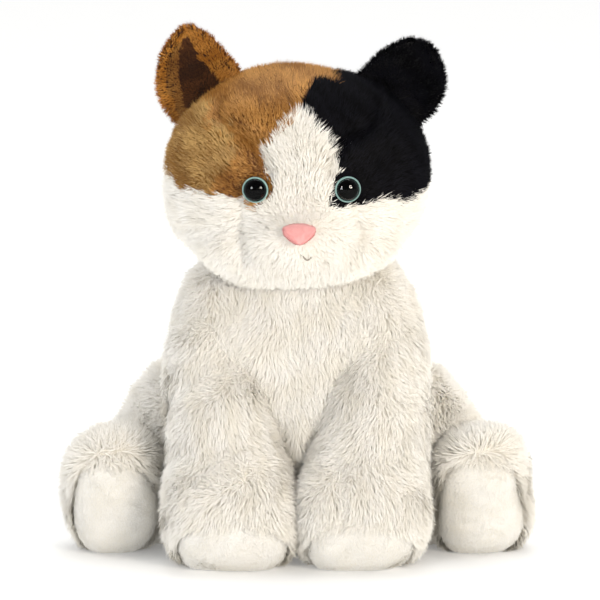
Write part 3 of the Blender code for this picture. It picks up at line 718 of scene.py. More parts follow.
    def pick_shades(self, roots: Roots, finishes: Sequence[PileFinish], palette: Palette,
                    rng: np.random.Generator, seed: int, paint: Optional[RootValues]) -> tuple[Array, list]:
        """The material slot of every triangle, and the slots: two root triangles and one tip each."""
        slots: list[bpy.types.Material] = []
        starts = []
        for finish in finishes:
            starts.append(len(slots))
            slots.extend(palette.shades(finish))
        which = paint(roots).astype(int) if paint is not None else np.zeros(len(roots.points), int)
        variants = np.array([finish.variants for finish in finishes])[which]
        start = np.array(starts)[which]
        drift, scatter = self.TONES
        tone = 0.5 + drift * Drift(seed + 3, 17 * MM).value(roots.points)
        tone = tone + rng.normal(size=len(which)) * scatter
        index = np.clip((tone * variants).astype(int), 0, variants - 1)
        low, high = start + index, start + variants + index
        return np.column_stack([low, low, high]).ravel(), slots


BODY_COAT = Coat()
CROWN_COAT = Coat(length=7.4, width=0.5, lean=52, per_mm2=3.2, clump=3.2, gather=0.36, swirl=0.3)
FACE_COAT = Coat(length=8.4, per_mm2=2.8, gather=0.28)
THIGH_COAT = Coat(length=9.4, lean=52, gather=0.38)
TAIL_COAT = Coat(gather=0.36)
EAR_COAT = Coat(length=5.2, width=0.5, lean=48, per_mm2=4.2, clump=2.6, gather=0.35, swirl=0.2, stray=0.35)
EAR_LINING_COAT = Coat(length=4.2, width=0.5, lean=52, per_mm2=4.0, clump=2.4, gather=0.3, swirl=0.2)
SOLE_COAT = Coat(length=2.4, width=0.42, lean=60, per_mm2=3.6, clump=2.0, gather=0.05, swirl=0.4)
NOSE_COAT = Coat(length=1.6, width=0.34, lean=48, per_mm2=7.0, clump=1.6, gather=0.1, swirl=0.2)


def laid_back(nap: Array, normals: Array) -> Array:
    """Turns the nap backwards where the skin faces up, so that no pile points at the front there."""
    turned = nap.copy()
    turned[:, 1] += np.maximum(normals[:, 2] - 0.2, 0.0) * 1.5
    return turned


def dress(piece: bpy.types.Object, body: str) -> bpy.types.Object:
    """Lets a pile move with its body."""
    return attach(piece, body)


# Head

@dataclass
class Head:
    """The head: a wide rounded form in six sewn panels, with the muzzle, creases, nose, mouth and eyes."""

    palette: Palette
    centre: Array = field(default_factory=lambda: mm(0, -30, 208))
    half_width: float = 71 * MM
    half_depth: float = 59 * MM
    up: float = 57 * MM
    down: float = 52 * MM
    jowl: float = 2.6                    # power of the lower half's outline: 2 is an ellipse
    muzzle_centre: Array = field(default_factory=lambda: mm(0, -74, 180))
    muzzle_radii: Array = field(default_factory=lambda: mm(29, 22, 17))
    chin_centre: Array = field(default_factory=lambda: mm(0, -56, 174))
    chin_radii: Array = field(default_factory=lambda: mm(54, 30, 22))
    overhang: float = 6.2 * MM           # how far a tuft's tip lies from its root along the skin
    nose_tip: Array = field(default_factory=lambda: mm(1, -100, 186))
    nose_middle: tuple[float, float] = (1.1 * MM, 185 * MM)    # x and z of the bare spot under the pad
    face_line: float = 1.0 * MM          # x of the line that the brows and cheek creases mirror across
    eye_spread: float = 24.5 * MM
    eye_shift: float = 2.4 * MM          # how far to its left the pair of eyes is set
    eye_height: float = 207 * MM
    brow: Array = field(default_factory=lambda: mm_rows(
        (42, 246), (40, 239), (35, 234.5), (28, 232), (22, 228), (17.5, 221.5), (14.5, 214)))
    cheek_line: Array = field(default_factory=lambda: mm_rows((28, 199), (30.5, 186), (29, 171)))
    hem: Array = field(default_factory=lambda: mm_rows(      # x and z of the crown's lower edge in front
        (-80, 219), (-73, 216), (-63, 205), (-34, 203), (-27, 197), (-21, 203), (-12, 212),
        (12, 212), (21, 203), (27, 197), (41, 199), (67, 202), (80, 205)))
    nape_hem: Array = field(default_factory=lambda: mm_rows((0, 222), (30, 210), (75, 200)))
    blaze: Array = field(default_factory=lambda: mm_rows(    # z, and x of the wedge's two sides there
        (196, -24, 24), (209, -15, 20), (214, -15, 22), (220, -19, 26), (230, -18, 20), (238, -12, 14.5),
        (243, -6.4, 9), (249, 1.0, 2.2)))
    parting: Array = field(default_factory=lambda: mm_rows((249, 1.6), (260, 8.0), (268, 20.0)))
    golden: Array = field(default_factory=lambda: mm_rows(   # z, and x of the inner edge of the painted highlight on the temple
        (205, -44), (214, -38), (222, -34), (228, -33), (232, -36), (239, -44), (246, -48)))

    def form(self, p: Array) -> Array:
        """The skull joined to a broad chin and the muzzle.

        The skull's level is the root of (x / a) to a power plus (z / h) to the same power, brought back to
        a square, plus (y / b) squared. The power is 2 above the centre and the jowl's below.
        """
        away = p - self.centre
        upper = away[:, 2] > 0
        tall = np.where(upper, self.up, self.down)
        power = np.where(upper, 2.0, self.jowl)
        wide = np.abs(away[:, 0] / self.half_width) ** power
        face = (wide + np.abs(away[:, 2] / tall) ** power) ** (2 / power)
        level = np.sqrt(face + (away[:, 1] / self.half_depth) ** 2) + 1e-9
        skull = np.linalg.norm(away, axis=1) * (1.0 - 1.0 / level)
        jaw = soft_union(skull, ellipsoid(p, self.chin_centre, self.chin_radii), 6 * MM)
        return soft_union(jaw, ellipsoid(p, self.muzzle_centre, self.muzzle_radii), 8 * MM)

    def sculpt(self, surface: Surface) -> Surface:
        """Presses the darts from ear to eye, the creases by the muzzle and the eyes' hollows into the skin.

        Each is a bell curve of the distance from its line, or from the eye's middle, seen from the front.
        """
        p = surface.points
        flat = np.column_stack([np.abs(p[:, 0] - self.face_line), p[:, 2]])
        front = smooth(-p[:, 1], 45 * MM, 62 * MM)
        dart = np.exp(-(near_path(flat, self.brow) / (3.2 * MM)) ** 2) * 5.0 * MM
        crease = np.exp(-(near_path(flat, self.cheek_line) / (4.5 * MM)) ** 2) * 3.0 * MM
        eye = np.linalg.norm(flat - [self.eye_spread, self.eye_height], axis=1)
        hollow = np.exp(-(eye / (8 * MM)) ** 2) * 2.4 * MM
        swell = Drift(5, 60 * MM).value(p) * 0.7 * MM
        depth = front * (dart + crease + hollow) - swell
        return with_normals(p - surface.normals * depth[:, None], surface.triangles, surface.chart)

    def patch(self, p: Array) -> Array:
        """Which panel each point is on: 0 white, 1 brown, 2 black.

        The blaze is a white wedge up the middle of the face, its sides eased from its foot to its point, and
        the coloured crown comes down to a hem that dips under each eye. A white wedge rises at the nape.
        """
        x, y, z = p[:, 0], p[:, 1], p[:, 2]
        hem = np.interp(x, *self.hem.T) + Drift(9, 11 * MM).value(p) * 0.9 * MM
        heights, right_side, left_side = self.blaze.T
        edge = Drift(10, 9 * MM).value(p) * 0.8 * MM
        blaze = (x > np.interp(z, heights, right_side) + edge) & (x < np.interp(z, heights, left_side) + edge)
        blaze = blaze & (z < heights[-1]) & (y < self.centre[1])
        parting = np.where(y > -45 * MM, self.parting[-1, 1], np.interp(z, *self.parting.T))
        behind = smooth(y, -30 * MM, 0.0)
        hem = hem * (1 - behind) + np.interp(np.abs(x), *self.nape_hem.T) * behind
        crown = (z > hem) & ~blaze
        return np.where(crown, np.where(x < parting, 1, 2), 0)

    def panels(self, surface: Surface) -> dict[str, Array]:
        """The triangles of each sewn panel, with a colour's edge judged where the tips of its pile lie."""
        middle = surface.centres()
        normals = surface.normals[surface.triangles].mean(axis=1)
        nap = self.comb(Roots(middle, normals, surface.chart_centres()))
        patch = self.patch(middle + unit(along_skin(nap, normals)) * self.overhang)
        front = middle[:, 1] < -18 * MM
        outer = np.abs(middle[:, 0]) > 29 * MM
        right = middle[:, 0] < 0
        return {
            "brown_crown_panel": patch == 1,
            "black_crown_panel": patch == 2,
            "muzzle_panel": (patch == 0) & front & ~outer,
            "right_cheek_panel": (patch == 0) & front & outer & right,
            "left_cheek_panel": (patch == 0) & front & outer & ~right,
            "nape_panel": (patch == 0) & ~front,
        }

    def comb(self, roots: Roots) -> Array:
        """The nap: outwards from the nose all over, and turned down below it."""
        away = roots.points - self.nose_tip
        away[:, 2] -= smooth(-roots.points[:, 2], -196 * MM, -165 * MM) * 30 * MM
        return away

    def eye_place(self, side: Side) -> tuple[float, float]:
        """The x and z of an eye's middle."""
        return side.value * self.eye_spread + self.eye_shift, self.eye_height

    def from_eyes(self, p: Array) -> Array:
        """How far each point is from the nearer eye's middle, seen from the front."""
        gaps = []
        for side in Side:
            x, z = self.eye_place(side)
            gaps.append(np.hypot(p[:, 0] - x, p[:, 2] - z))
        return np.minimum(*gaps)

    def trim(self, roots: Roots) -> Array:
        """Short round the nose and the eyes, and at full length farther out."""
        p = roots.points
        nose = np.linalg.norm(p - self.nose_tip, axis=1)
        eye = np.where(p[:, 1] < -50 * MM, self.from_eyes(p), 1.0)
        short = 0.35 + 0.65 * smooth(nose, 9 * MM, 34 * MM)
        return short * (0.45 + 0.55 * smooth(eye, 6 * MM, 15 * MM))

    def keep(self, roots: Roots) -> Array:
        """No pile under the nose and the eyes, and none inside the neck."""
        p = roots.points
        nose_x, nose_z = self.nose_middle
        bare = np.hypot((p[:, 0] - nose_x) / 1.5, p[:, 2] - nose_z) <= 3.6 * MM
        bare |= self.from_eyes(p) <= 5.4 * MM
        in_neck = np.linalg.norm((p - mm(0, -22, 150)) * np.array([0.8, 1.0, 0.6]), axis=1) <= 24 * MM
        return ~(bare & (p[:, 1] <= -50 * MM)) & ~in_neck

    def paint_brown(self, roots: Roots) -> Array:
        """Lighter ginger as a painted highlight on the outer temple, rich ginger towards the blaze."""
        p = roots.points
        wobble = Drift(15, 22 * MM).value(p) * 5 * MM + Drift(16, 5 * MM).value(p) * 2.5 * MM
        return np.where(p[:, 0] + wobble < np.interp(p[:, 2], *self.golden.T), 1, 0)

    def build(self) -> None:
        """Makes the six panels with their pile."""
        skin = self.sculpt(round_surface(self.form, self.centre, PILE_BED, 176, 128))
        cloths = {"brown_crown_panel": (self.palette.brown, BROWN_PILE, "brown_pile"),
                  "black_crown_panel": (self.palette.black, BLACK_PILE, "black_pile")}
        for seed, (name, mask) in enumerate(self.panels(skin).items(), start=100):
            cloth, pile, slot = cloths.get(name, (self.palette.white, WHITE_PILE, "white_pile"))
            part = skin.part(mask)
            cloth_piece(name + "_cloth", part, cloth, name, "head")
            coat = CROWN_COAT if name in cloths else FACE_COAT
            # The ginger crown's pile carries a painted highlight on its outer temple.
            brown = pile is BROWN_PILE
            tufts = coat.grow(name.replace("_panel", "_pile"), part, [pile, GINGER_HIGHLIGHT_PILE] if brown else [pile],
                              self.palette, seed * 10, self.comb, self.keep, self.trim,
                              self.paint_brown if brown else None)
            dress(tufts, "head")


# Ears

@dataclass
class Ear:
    """One ear: a lining and an outer cloth sewn round a cupped, pointed outline."""

    side: Side
    tip: Array
    head: Head
    palette: Palette
    outer: Array = field(default_factory=lambda: mm(66, -24, 235))
    inner: Array = field(default_factory=lambda: mm(33, -26, 262))
    shift: float = 0.0                   # how far to the cat's left the foot stands of its mirrored place
    bulge: float = 12 * MM
    cup: float = 10 * MM
    blunt: float = 1.8 * MM              # half the width that is left at the tip
    half_thickness: float = 2.3 * MM
    cloth: float = 0.9 * MM
    top: float = 0.985                   # height of the last row, as a share of the way to the tip

    def corners(self) -> tuple[Array, Array]:
        """The outer and the inner corner of the ear's foot."""
        shift = np.array([self.shift, 0.0, 0.0])
        return self.side.mirror(self.outer) + shift, self.side.mirror(self.inner) + shift

    def middle(self, u: Array, w: Array) -> Array:
        """The ear's middle surface.

        Its foot is a straight line from the outer to the inner corner, laid onto the head. Above it, each
        row closes in on the tip, the outer edge bulges, and the middle lies back from the edges.

        Args:
            u: the way across, 0 at the outer edge and 1 at the inner one.
            w: the way up, 0 at the foot and 1 at the tip.

        Returns:
            The points, with x, y and z on a last axis.
        """
        outer, inner = self.corners()
        steps = np.linspace(0, 1, 33)
        feet = outer + (inner - outer) * steps[:, None]
        feet = project(unit(feet - self.head.centre, 0.0), self.head.centre, self.head.form, 1.0 * MM)
        foot = np.stack([np.interp(u, steps, feet[:, k]) for k in range(3)], axis=-1)
        close = w ** 1.7 * 0.86
        point = foot * (1 - w)[..., None] + self.tip * w[..., None]
        point = point + (self.tip - foot) * ((close - w) * 0.35)[..., None]
        swell = 4 * w * (1 - w)
        point[..., 0] += self.side.value * self.bulge * swell * (1 - u)
        point[..., 0] += self.side.value * self.blunt * smooth(w, 0.25, 0.95) * (1 - 2 * u)
        point[..., 2] += self.bulge * 0.35 * swell * u
        hollow = 4 * u * (1 - u) * (0.35 + 0.65 * (1 - w)) * np.minimum(1.0, 6 * w)
        point[..., 1] += self.cup * hollow
        return point

    def surface(self) -> Surface:
        """The closed ear: each row is a flat loop, off the middle by the thickness times its turn's sine."""
        around, rings, step = 72, 44, 0.01
        turn = np.arange(around) / around * 2 * math.pi
        u, w = np.meshgrid(0.5 - 0.5 * np.cos(turn), np.linspace(0.0, self.top, rings))
        across = self.middle(np.minimum(u + step, 1), w) - self.middle(np.maximum(u - step, 0), w)
        upward = self.middle(u, np.minimum(w + step, 1)) - self.middle(u, np.maximum(w - step, 0))
        out = unit(np.cross(across, upward))
        out *= np.where(out[..., 1:2] > 0, -1.0, 1.0)
        thick = self.half_thickness * np.sqrt(np.maximum(1 - w ** 6, 0))
        rows = self.middle(u, w) + out * (np.sin(turn)[None] * thick)[..., None]
        if self.side is Side.LEFT:
            rows, u = rows[:, ::-1], u[:, ::-1]
        foot = rows[0].mean(axis=0)
        made = closed_grid(rows, foot, rows[-1].mean(axis=0) + (self.tip - foot) * 0.012)
        made.chart = np.vstack([[0.5, 0.0], np.column_stack([u.ravel(), w.ravel()]), [0.5, 1.0]])
        return made

    def comb(self, roots: Roots) -> Array:
        """The nap: outwards from the middle of the ear's foot, so that it fringes every edge."""
        outer, inner = self.corners()
        return roots.points - (outer + inner) / 2 + roots.normals * 4 * MM

    def paint_lining(self, roots: Roots) -> Array:
        """Near black-brown in the hollow as painted shade, tan towards the outer edge, and the outer cloth's
        colour on the inner roll.
        """
        u, w = roots.chart[:, 0], roots.chart[:, 1]
        wobble = Drift(31, 8 * MM).value(roots.points) * 0.03
        shade = np.where(u + wobble < 0.24 + 0.22 * w, 1, 0)
        shade = np.where((u + wobble > 0.72) | (w + wobble > 0.84) | (u + wobble < 0.12), 2, shade)
        return shade

    def build(self) -> None:
        """Makes the lining and the outer cloth with their pile."""
        word, body = self.side.word, f"{self.side.word}_ear"
        whole = self.surface()
        front = whole.normals[whole.triangles].mean(axis=1)[:, 1] < 0
        right = self.side is Side.RIGHT
        looks = {
            "front": (front, self.palette.lining if right else self.palette.black,
                      [HOLLOW_SHADE_PILE, TAN_PILE, RIM_PILE] if right else [BLACK_PILE],
                      "ear_lining" if right else "black_pile"),
            "back": (~front, self.palette.brown if right else self.palette.black,
                     [RIM_PILE] if right else [BLACK_PILE], "brown_pile" if right else "black_pile"),
        }
        for seed, (name, (mask, cloth, piles, slot)) in enumerate(looks.items()):
            part = whole.part(mask)
            cloth_piece(f"{word}_ear_{name}_cloth", part, cloth, f"{word}_ear_{name}", body, self.cloth)
            coat = EAR_LINING_COAT if name == "front" else EAR_COAT
            paint = self.paint_lining if len(piles) > 1 else None
            tufts = coat.grow(f"{word}_ear_{name}_pile", part, piles, self.palette,
                              4000 + 50 * (self.side.value + 1) + seed * 10, self.comb, paint=paint)
            dress(tufts, body)


# Torso

@dataclass
class Torso:
    """The body: a belly on the floor and a broad chest that runs up into the head, in four sewn panels."""

    palette: Palette
    head: Head
    centre: Array = field(default_factory=lambda: mm(0, -10, 84))
    belly_centre: Array = field(default_factory=lambda: mm(0, 4, 44))
    belly_radii: Array = field(default_factory=lambda: mm(66, 44, 60))
    side_flat: float = 57.4 * MM         # where the thighs press the belly flat
    column_y: float = -22 * MM
    column_widest: float = 115 * MM      # the height above which the column narrows
    column_power: float = 2.4            # power of its round-cornered plan: 2 is an ellipse
    column_ends: tuple[float, float] = (62 * MM, 171 * MM)
    shoulder_centre: Array = field(default_factory=lambda: mm(42, -34, 116))
    shoulder_radii: Array = field(default_factory=lambda: mm(25, 30, 38))
    keel_centre: Array = field(default_factory=lambda: mm(0, -44, 66))
    keel_radii: Array = field(default_factory=lambda: mm(9, 22, 26))
    brown_patch: tuple[float, float, float, float] = (-20, 112, 34, 36)    # x, z, half width, half height, mm
    black_patch: tuple[float, float, float, float] = (34, 66, 30, 30)

    def form(self, p: Array) -> Array:
        """A belly joined to two shoulders, a keel between the legs and a column that narrows with height."""
        belly = ellipsoid(p, self.belly_centre, self.belly_radii)
        above = np.maximum(p[:, 2] - self.column_widest, 0.0)
        wide, deep = 60 * MM - 0.19 * above, 44 * MM - 0.13 * above
        x, y = np.abs(p[:, 0] / wide), np.abs((p[:, 1] - self.column_y) / deep)
        power = self.column_power
        column = ((x ** power + y ** power) ** (1 / power) - 1.0) * deep
        foot, top = self.column_ends
        column = soft_common(column, p[:, 2] - top, 24 * MM)
        column = soft_common(column, foot - p[:, 2], 24 * MM)
        q = np.column_stack([np.abs(p[:, 0]), p[:, 1], p[:, 2]])
        shoulder = ellipsoid(q, self.shoulder_centre, self.shoulder_radii)
        trunk = soft_union(soft_union(belly, column, 14 * MM), shoulder, 14 * MM)
        return soft_union(trunk, ellipsoid(p, self.keel_centre, self.keel_radii), 8 * MM)

    def comb(self, roots: Roots) -> Array:
        """The nap: straight down, and a little backwards on the sides."""
        nap = np.zeros_like(roots.points)
        nap[:, 2] = -1.0
        nap[:, 1] = np.where(np.abs(roots.normals[:, 0]) > 0.6, 0.25, 0.0)
        return laid_back(nap, roots.normals)

    def keep(self, roots: Roots) -> Array:
        """Nothing well inside the head or the front legs, or in the floor's contact patch."""
        p = roots.points
        hidden = self.head.form(p) < -5 * MM
        for side in Side:
            hidden |= FrontLeg(side, self.palette, self).form(p) < -5 * MM
        return ~hidden & (p[:, 2] > 2 * MM)

    def paint(self, roots: Roots) -> Array:
        """A brown and a black patch on the back, and white elsewhere."""
        p = roots.points
        q = p + (Drift(41, 34 * MM).vector(p) * 4 * MM + Drift(42, 6 * MM).vector(p) * 0.7 * MM)
        inside = [((q[:, 0] - x * MM) / wide) ** 2 + ((q[:, 2] - z * MM) / tall) ** 2 < MM ** 2
                  for x, z, wide, tall in (self.brown_patch, self.black_patch)]
        behind = p[:, 1] > -6 * MM
        return np.where(behind & inside[1], 2, np.where(behind & inside[0], 1, 0))

    def build(self) -> None:
        """Makes the four panels and the pile of all but the base."""
        skin = round_surface(self.form, self.centre, PILE_BED, 176, 128)
        points = skin.points + skin.normals * (Drift(6, 55 * MM).value(skin.points) * 0.8 * MM)[:, None]
        points[:, 2] = np.maximum(points[:, 2], FLOOR_GAP)
        reach = self.side_flat + 20 * MM * smooth(points[:, 2], 88 * MM, 112 * MM)
        points[:, 0] = np.clip(points[:, 0], -reach, reach)
        skin = with_normals(points, skin.triangles, skin.chart)
        middle = skin.centres()
        low, front, right = middle[:, 2] < 5 * MM, middle[:, 1] < -16 * MM, middle[:, 0] < 0
        back = ~low & ~front
        panels = {"chest": ~low & front, "right_back": back & right, "left_back": back & ~right, "base": low}
        piles = [WHITE_PILE, BROWN_PILE, BLACK_PILE]
        for seed, (name, mask) in enumerate(panels.items(), start=200):
            part = skin.part(mask)
            panel = f"{name}_panel"
            cloth_piece(f"{panel}_cloth", part, self.palette.white, panel, "torso")
            if name != "base":
                tufts = BODY_COAT.grow(f"{name}_pile", part, piles, self.palette, seed * 10, self.comb,
                                       self.keep, paint=self.paint)
                dress(tufts, "torso")


# Legs

@dataclass
class Leg:
    """What both pairs have in common: a cloth, a smooth sole beyond a slanting seam, and their pile.

    All places are the left leg's, and the right leg is its mirror. A subclass gives the leg's form, the nap,
    where pile grows, and these: its own middle, the middle of its foot, and how the sole lies there.
    """

    side: Side
    palette: Palette
    torso: Torso

    NAME, FOOT, SEED, COAT = "", "", 0, BODY_COAT
    GROOVE = (2.2 * MM, 1.3 * MM)        # half width and depth of the groove at the sole's seam
    SWELL = (60, 50 * MM)                # seed and size of the lumps in the filling

    def form(self, p: Array) -> Array:
        """The leg's distance field."""
        raise NotImplementedError

    def comb(self, roots: Roots) -> Array:
        """The leg's nap."""
        raise NotImplementedError

    def keep(self, roots: Roots) -> Array:
        """Where the leg's pile grows."""
        raise NotImplementedError

    def dents(self, p: Array) -> Array:
        """How deep the skin is drawn in besides the groove: nowhere, if the leg has no toes."""
        return np.zeros(len(p))

    def sole_side(self, p: Array) -> Array:
        """How far each point lies beyond the plane of the sole's seam."""
        lean = np.array([0, -math.sin(self.sole_lean), -math.cos(self.sole_lean)])
        return (p - self.side.mirror(self.foot)) @ lean - self.sole_reach

    def skin(self) -> Surface:
        """The whole leg's skin, flat on the floor, on its own side of the cat, with its groove and dents."""
        made = round_surface(self.form, self.side.mirror(self.middle), PILE_BED)
        p = made.points.copy()
        width, depth = self.GROOVE
        groove = np.exp(-(self.sole_side(p) / width) ** 2) * depth
        seed, size = self.SWELL
        swell = Drift(seed + self.side.value, size).value(p) * 0.8 * MM
        p -= made.normals * (groove + self.dents(p) - swell)[:, None]
        p[:, 2] = np.maximum(p[:, 2], FLOOR_GAP)
        p[:, 0] = self.side.value * np.maximum(p[:, 0] * self.side.value, 0.8 * MM)
        return with_normals(p, made.triangles, made.chart)

    def build(self) -> None:
        """Makes the leg's cloth and sole with their pile."""
        body = f"{self.side.word}_{self.NAME}_leg"
        sole_name = f"{self.side.word}_{self.NAME}_{self.FOOT}_sole"
        whole = self.skin()
        beyond = self.sole_side(whole.centres()) > 0
        upper, sole = whole.part(~beyond), whole.part(beyond)
        cloth = cloth_piece(f"{body}_cloth", upper, self.palette.white, f"{body}_skin", body)
        cloth_piece(f"{sole_name}_cloth", sole, self.palette.sole, sole_name, body)
        seed = self.SEED + 50 * (self.side.value + 1)
        pile = self.COAT.grow(f"{body}_pile", upper, [WHITE_PILE], self.palette, seed, self.comb, self.keep)
        dress(pile, body)
        velour = SOLE_COAT.grow(f"{sole_name}_pile", sole, [SOLE_PILE], self.palette, seed + 20, self.comb,
                                self.keep)
        dress(velour, body)


@dataclass
class FrontLeg(Leg):
    """A front leg: shoulder, forearm and a broad paw with a smooth sole turned up at the toes."""

    middle: Array = field(default_factory=lambda: mm(38, -60, 55))
    shoulder: Array = field(default_factory=lambda: mm(46.5, -42, 112))
    forearm: Array = field(default_factory=lambda: mm(41, -52, 80))
    wrist: Array = field(default_factory=lambda: mm(37, -60, 52))
    foot: Array = field(default_factory=lambda: mm(35, -68, 28))
    foot_radii: Array = field(default_factory=lambda: mm(36.5, 33.5, 34))
    sole_lean: float = math.radians(48)
    sole_reach: float = 22 * MM

    NAME, FOOT, SEED = "front", "paw", 3000

    def form(self, p: Array) -> Array:
        """Two tapering stretches joined to a rounded paw."""
        q = self.side.mirror(p)
        upper = round_cone(q, self.shoulder, self.forearm, 24 * MM, 29.5 * MM)
        lower = round_cone(q, self.forearm, self.wrist, 29.5 * MM, 31.5 * MM)
        return soft_union(np.minimum(upper, lower), rounded_block(q, self.foot, self.foot_radii, 2.5), 8 * MM)

    def dents(self, p: Array) -> Array:
        """A shallow upright dent at the front of the paw, as if toes were drawn in."""
        across = np.abs(p[:, 0]) - 24 * MM
        toe = np.exp(-(across / (2.6 * MM)) ** 2) * smooth(-p[:, 1], 82 * MM, 92 * MM) * 1.6 * MM
        return toe * smooth(p[:, 2], 22 * MM, 30 * MM)

    def comb(self, roots: Roots) -> Array:
        """The nap: down the leg and outwards at the paw's edges, so that it fringes the sole's seam."""
        p = roots.points
        nap = np.zeros_like(p)
        low = smooth(-p[:, 2], -60 * MM, -25 * MM)
        nap[:, 2] = -1.0
        nap[:, 0] = (p[:, 0] / MM - 36 * self.side.value) / 34 * 0.7 * low
        return laid_back(nap, roots.normals)

    def keep(self, roots: Roots) -> Array:
        """No pile inside the torso or flat under the paw."""
        p = roots.points
        return (self.torso.form(p) > -7 * MM) & (p[:, 2] > 1.5 * MM)


@dataclass
class HindLeg(Leg):
    """A hind leg: a thigh beside the body and a foot that shows its smooth round sole."""

    middle: Array = field(default_factory=lambda: mm(80, -2, 38))
    inner_side: float = 56.8 * MM        # the flat face against the torso
    hip: Array = field(default_factory=lambda: mm(58.3, 4, 42))
    thigh_radii: Array = field(default_factory=lambda: mm(40, 38, 58))
    shank_start: Array = field(default_factory=lambda: mm(80, -2, 38))
    shank_end: Array = field(default_factory=lambda: mm(97, -18, 32))
    foot: Array = field(default_factory=lambda: mm(99.2, -30, 31.8))
    foot_radii: Array = field(default_factory=lambda: mm(26.4, 26.0, 34.5))
    sole_lean: float = math.radians(72)
    sole_reach: float = 13 * MM

    NAME, FOOT, SEED, COAT = "hind", "foot", 3300, THIGH_COAT
    GROOVE = (2.0 * MM, 1.5 * MM)
    SWELL = (70, 45 * MM)

    def form(self, p: Array) -> Array:
        """A thigh with a flat inner side, a shank and a foot."""
        q = self.side.mirror(p)
        thigh = ellipsoid(q, self.hip, self.thigh_radii)
        shank = round_cone(q, self.shank_start, self.shank_end, 30 * MM, 25 * MM)
        foot = rounded_block(q, self.foot, self.foot_radii, 2.7)
        limb = soft_union(soft_union(thigh, shank, 10 * MM), foot, 6 * MM)
        return soft_common(limb, self.inner_side - q[:, 0], 20 * MM)

    def comb(self, roots: Roots) -> Array:
        """The nap: out and down over the thigh, and outwards from the middle of the foot, mostly down."""
        p = roots.points
        nap = np.zeros_like(p)
        ahead = smooth(np.abs(p[:, 0]), 66 * MM, 88 * MM)
        away = (p - self.side.mirror(self.foot)) / (30 * MM)
        nap[:, 0] = away[:, 0] * 0.9 * ahead + 0.7 * self.side.value * (1 - ahead)
        nap[:, 2] = np.minimum(away[:, 2], 0.9) * 0.7 * ahead - 1.0
        return laid_back(nap, roots.normals)

    def keep(self, roots: Roots) -> Array:
        """No pile against the torso or flat under the foot."""
        p = roots.points
        return (p[:, 0] * self.side.value > self.inner_side + 3.0 * MM) & (p[:, 2] > 1.5 * MM)


# Tail

@dataclass
class Tail:
    """The tail: a stuffed tube that curls round behind the seat, brown with a black end."""

    palette: Palette
    route: list[Array] = field(default_factory=lambda: [
        mm(0, 40, 28), mm(0, 56, 23), mm(9, 74, 16), mm(29, 86.5, 14.5), mm(52, 86, 13.5), mm(73, 76, 12)])
    radii: Array = field(default_factory=lambda: mm(12, 14, 14.5, 14, 13, 10))
    end: float = 0.12                    # share of its length over which the tail closes to its end
    black_from: float = 0.74             # share of its length where the black begins

    def build(self) -> None:
        """Makes the cloth tube and its pile."""
        centres, sizes = smooth_route(self.route, self.radii, 40)
        closing = ((np.linspace(0, 1, len(sizes)) - (1 - self.end)) / self.end).clip(0)
        sizes = (sizes - PILE_BED) * np.sqrt(np.clip(1 - closing ** 2 * 0.75, 0, 1))
        sizes = np.minimum(sizes, centres[:, 2] - 0.4 * MM)
        whole = swept_surface(centres, sizes)
        cloth = cloth_piece("tail_cloth", whole, self.palette.brown, "tail_skin", "tail")
        direction = np.gradient(centres, axis=0)

        def comb(roots: Roots) -> Array:
            """The nap: along the tail to its end."""
            way, rings = roots.chart[:, 1] * (len(centres) - 1), np.arange(len(centres))
            return np.stack([np.interp(way, rings, direction[:, k]) for k in range(3)], axis=1)

        def paint(roots: Roots) -> Array:
            """Brown, and black over about the last quarter."""
            wobble = Drift(51, 9 * MM).value(roots.points) * 0.02
            return np.where(roots.chart[:, 1] + wobble > self.black_from, 1, 0)

        def keep(roots: Roots) -> Array:
            """No pile flat under the tail."""
            return roots.points[:, 2] > 0.8 * MM

        piles = [BROWN_PILE, BLACK_PILE]
        tufts = TAIL_COAT.grow("tail_pile", whole, piles, self.palette, 3600, comb, keep, paint=paint)
        dress(tufts, "tail")


# Face fittings

@dataclass(frozen=True)
class EyeFinish:
    """Moulded eye: clear acrylic over a printed cat's eye of a dark iris in a pale teal ring."""

    moulding: str = "#0A0C0D"
    pupil: str = "#050607"
    inner_iris: str = "#25302F"
    iris: str = "#7FA8A2"
    ring: str = "#86A8A3"

    def clear(self) -> bpy.types.Material:
        """Clear acrylic: smooth, IOR 1.49, and fully transmitting."""
        material, shader = blank_material("clear_acrylic")
        shader.inputs["Base Color"].default_value = linear("#FFFFFF")
        shader.inputs["Roughness"].default_value = 0.02
        shader.inputs["IOR"].default_value = 1.49
        shader.inputs["Transmission Weight"].default_value = 1.0
        return material

    def plain(self, name: str, colour: str, roughness: float, specular: float = 0.5) -> bpy.types.Material:
        """A smooth moulded or printed colour, mottled every millimetre or so up to a quarter lighter."""
        material, shader = blank_material(name)
        light = tuple(min(1.0, level * 1.25) for level in linear(colour))
        shade = mottled(material.node_tree, linear(colour), light, 900.0)[0]
        material.node_tree.links.new(shade, shader.inputs["Base Color"])
        shader.inputs["Roughness"].default_value = roughness
        shader.inputs["Specular IOR Level"].default_value = specular
        return material


def turned_surface(profile: Array, place: Array, axis: Array, around: int = 48) -> Surface:
    """A profile of radius and height turned about an axis through a place, from its foot to its top.

    Args:
        profile: rows of radius and height; the first and the last row lie on the axis.
        place: where height 0 is.
        axis: the way that height runs, of length 1.
        around: points in each ring.

    Returns:
        The closed surface.
    """
    side = unit(np.cross([0.0, 0.0, 1.0], axis), 0.0)
    other = np.cross(axis, side)
    turn = np.arange(around) / around * 2 * math.pi
    ring = np.cos(turn)[:, None] * side + np.sin(turn)[:, None] * other
    inner = profile[1:-1]
    rows = place + ring[None] * inner[:, 0, None, None] + axis * inner[:, 1, None, None]
    return closed_grid(rows, place + axis * profile[0, 1], place + axis * profile[-1, 1])


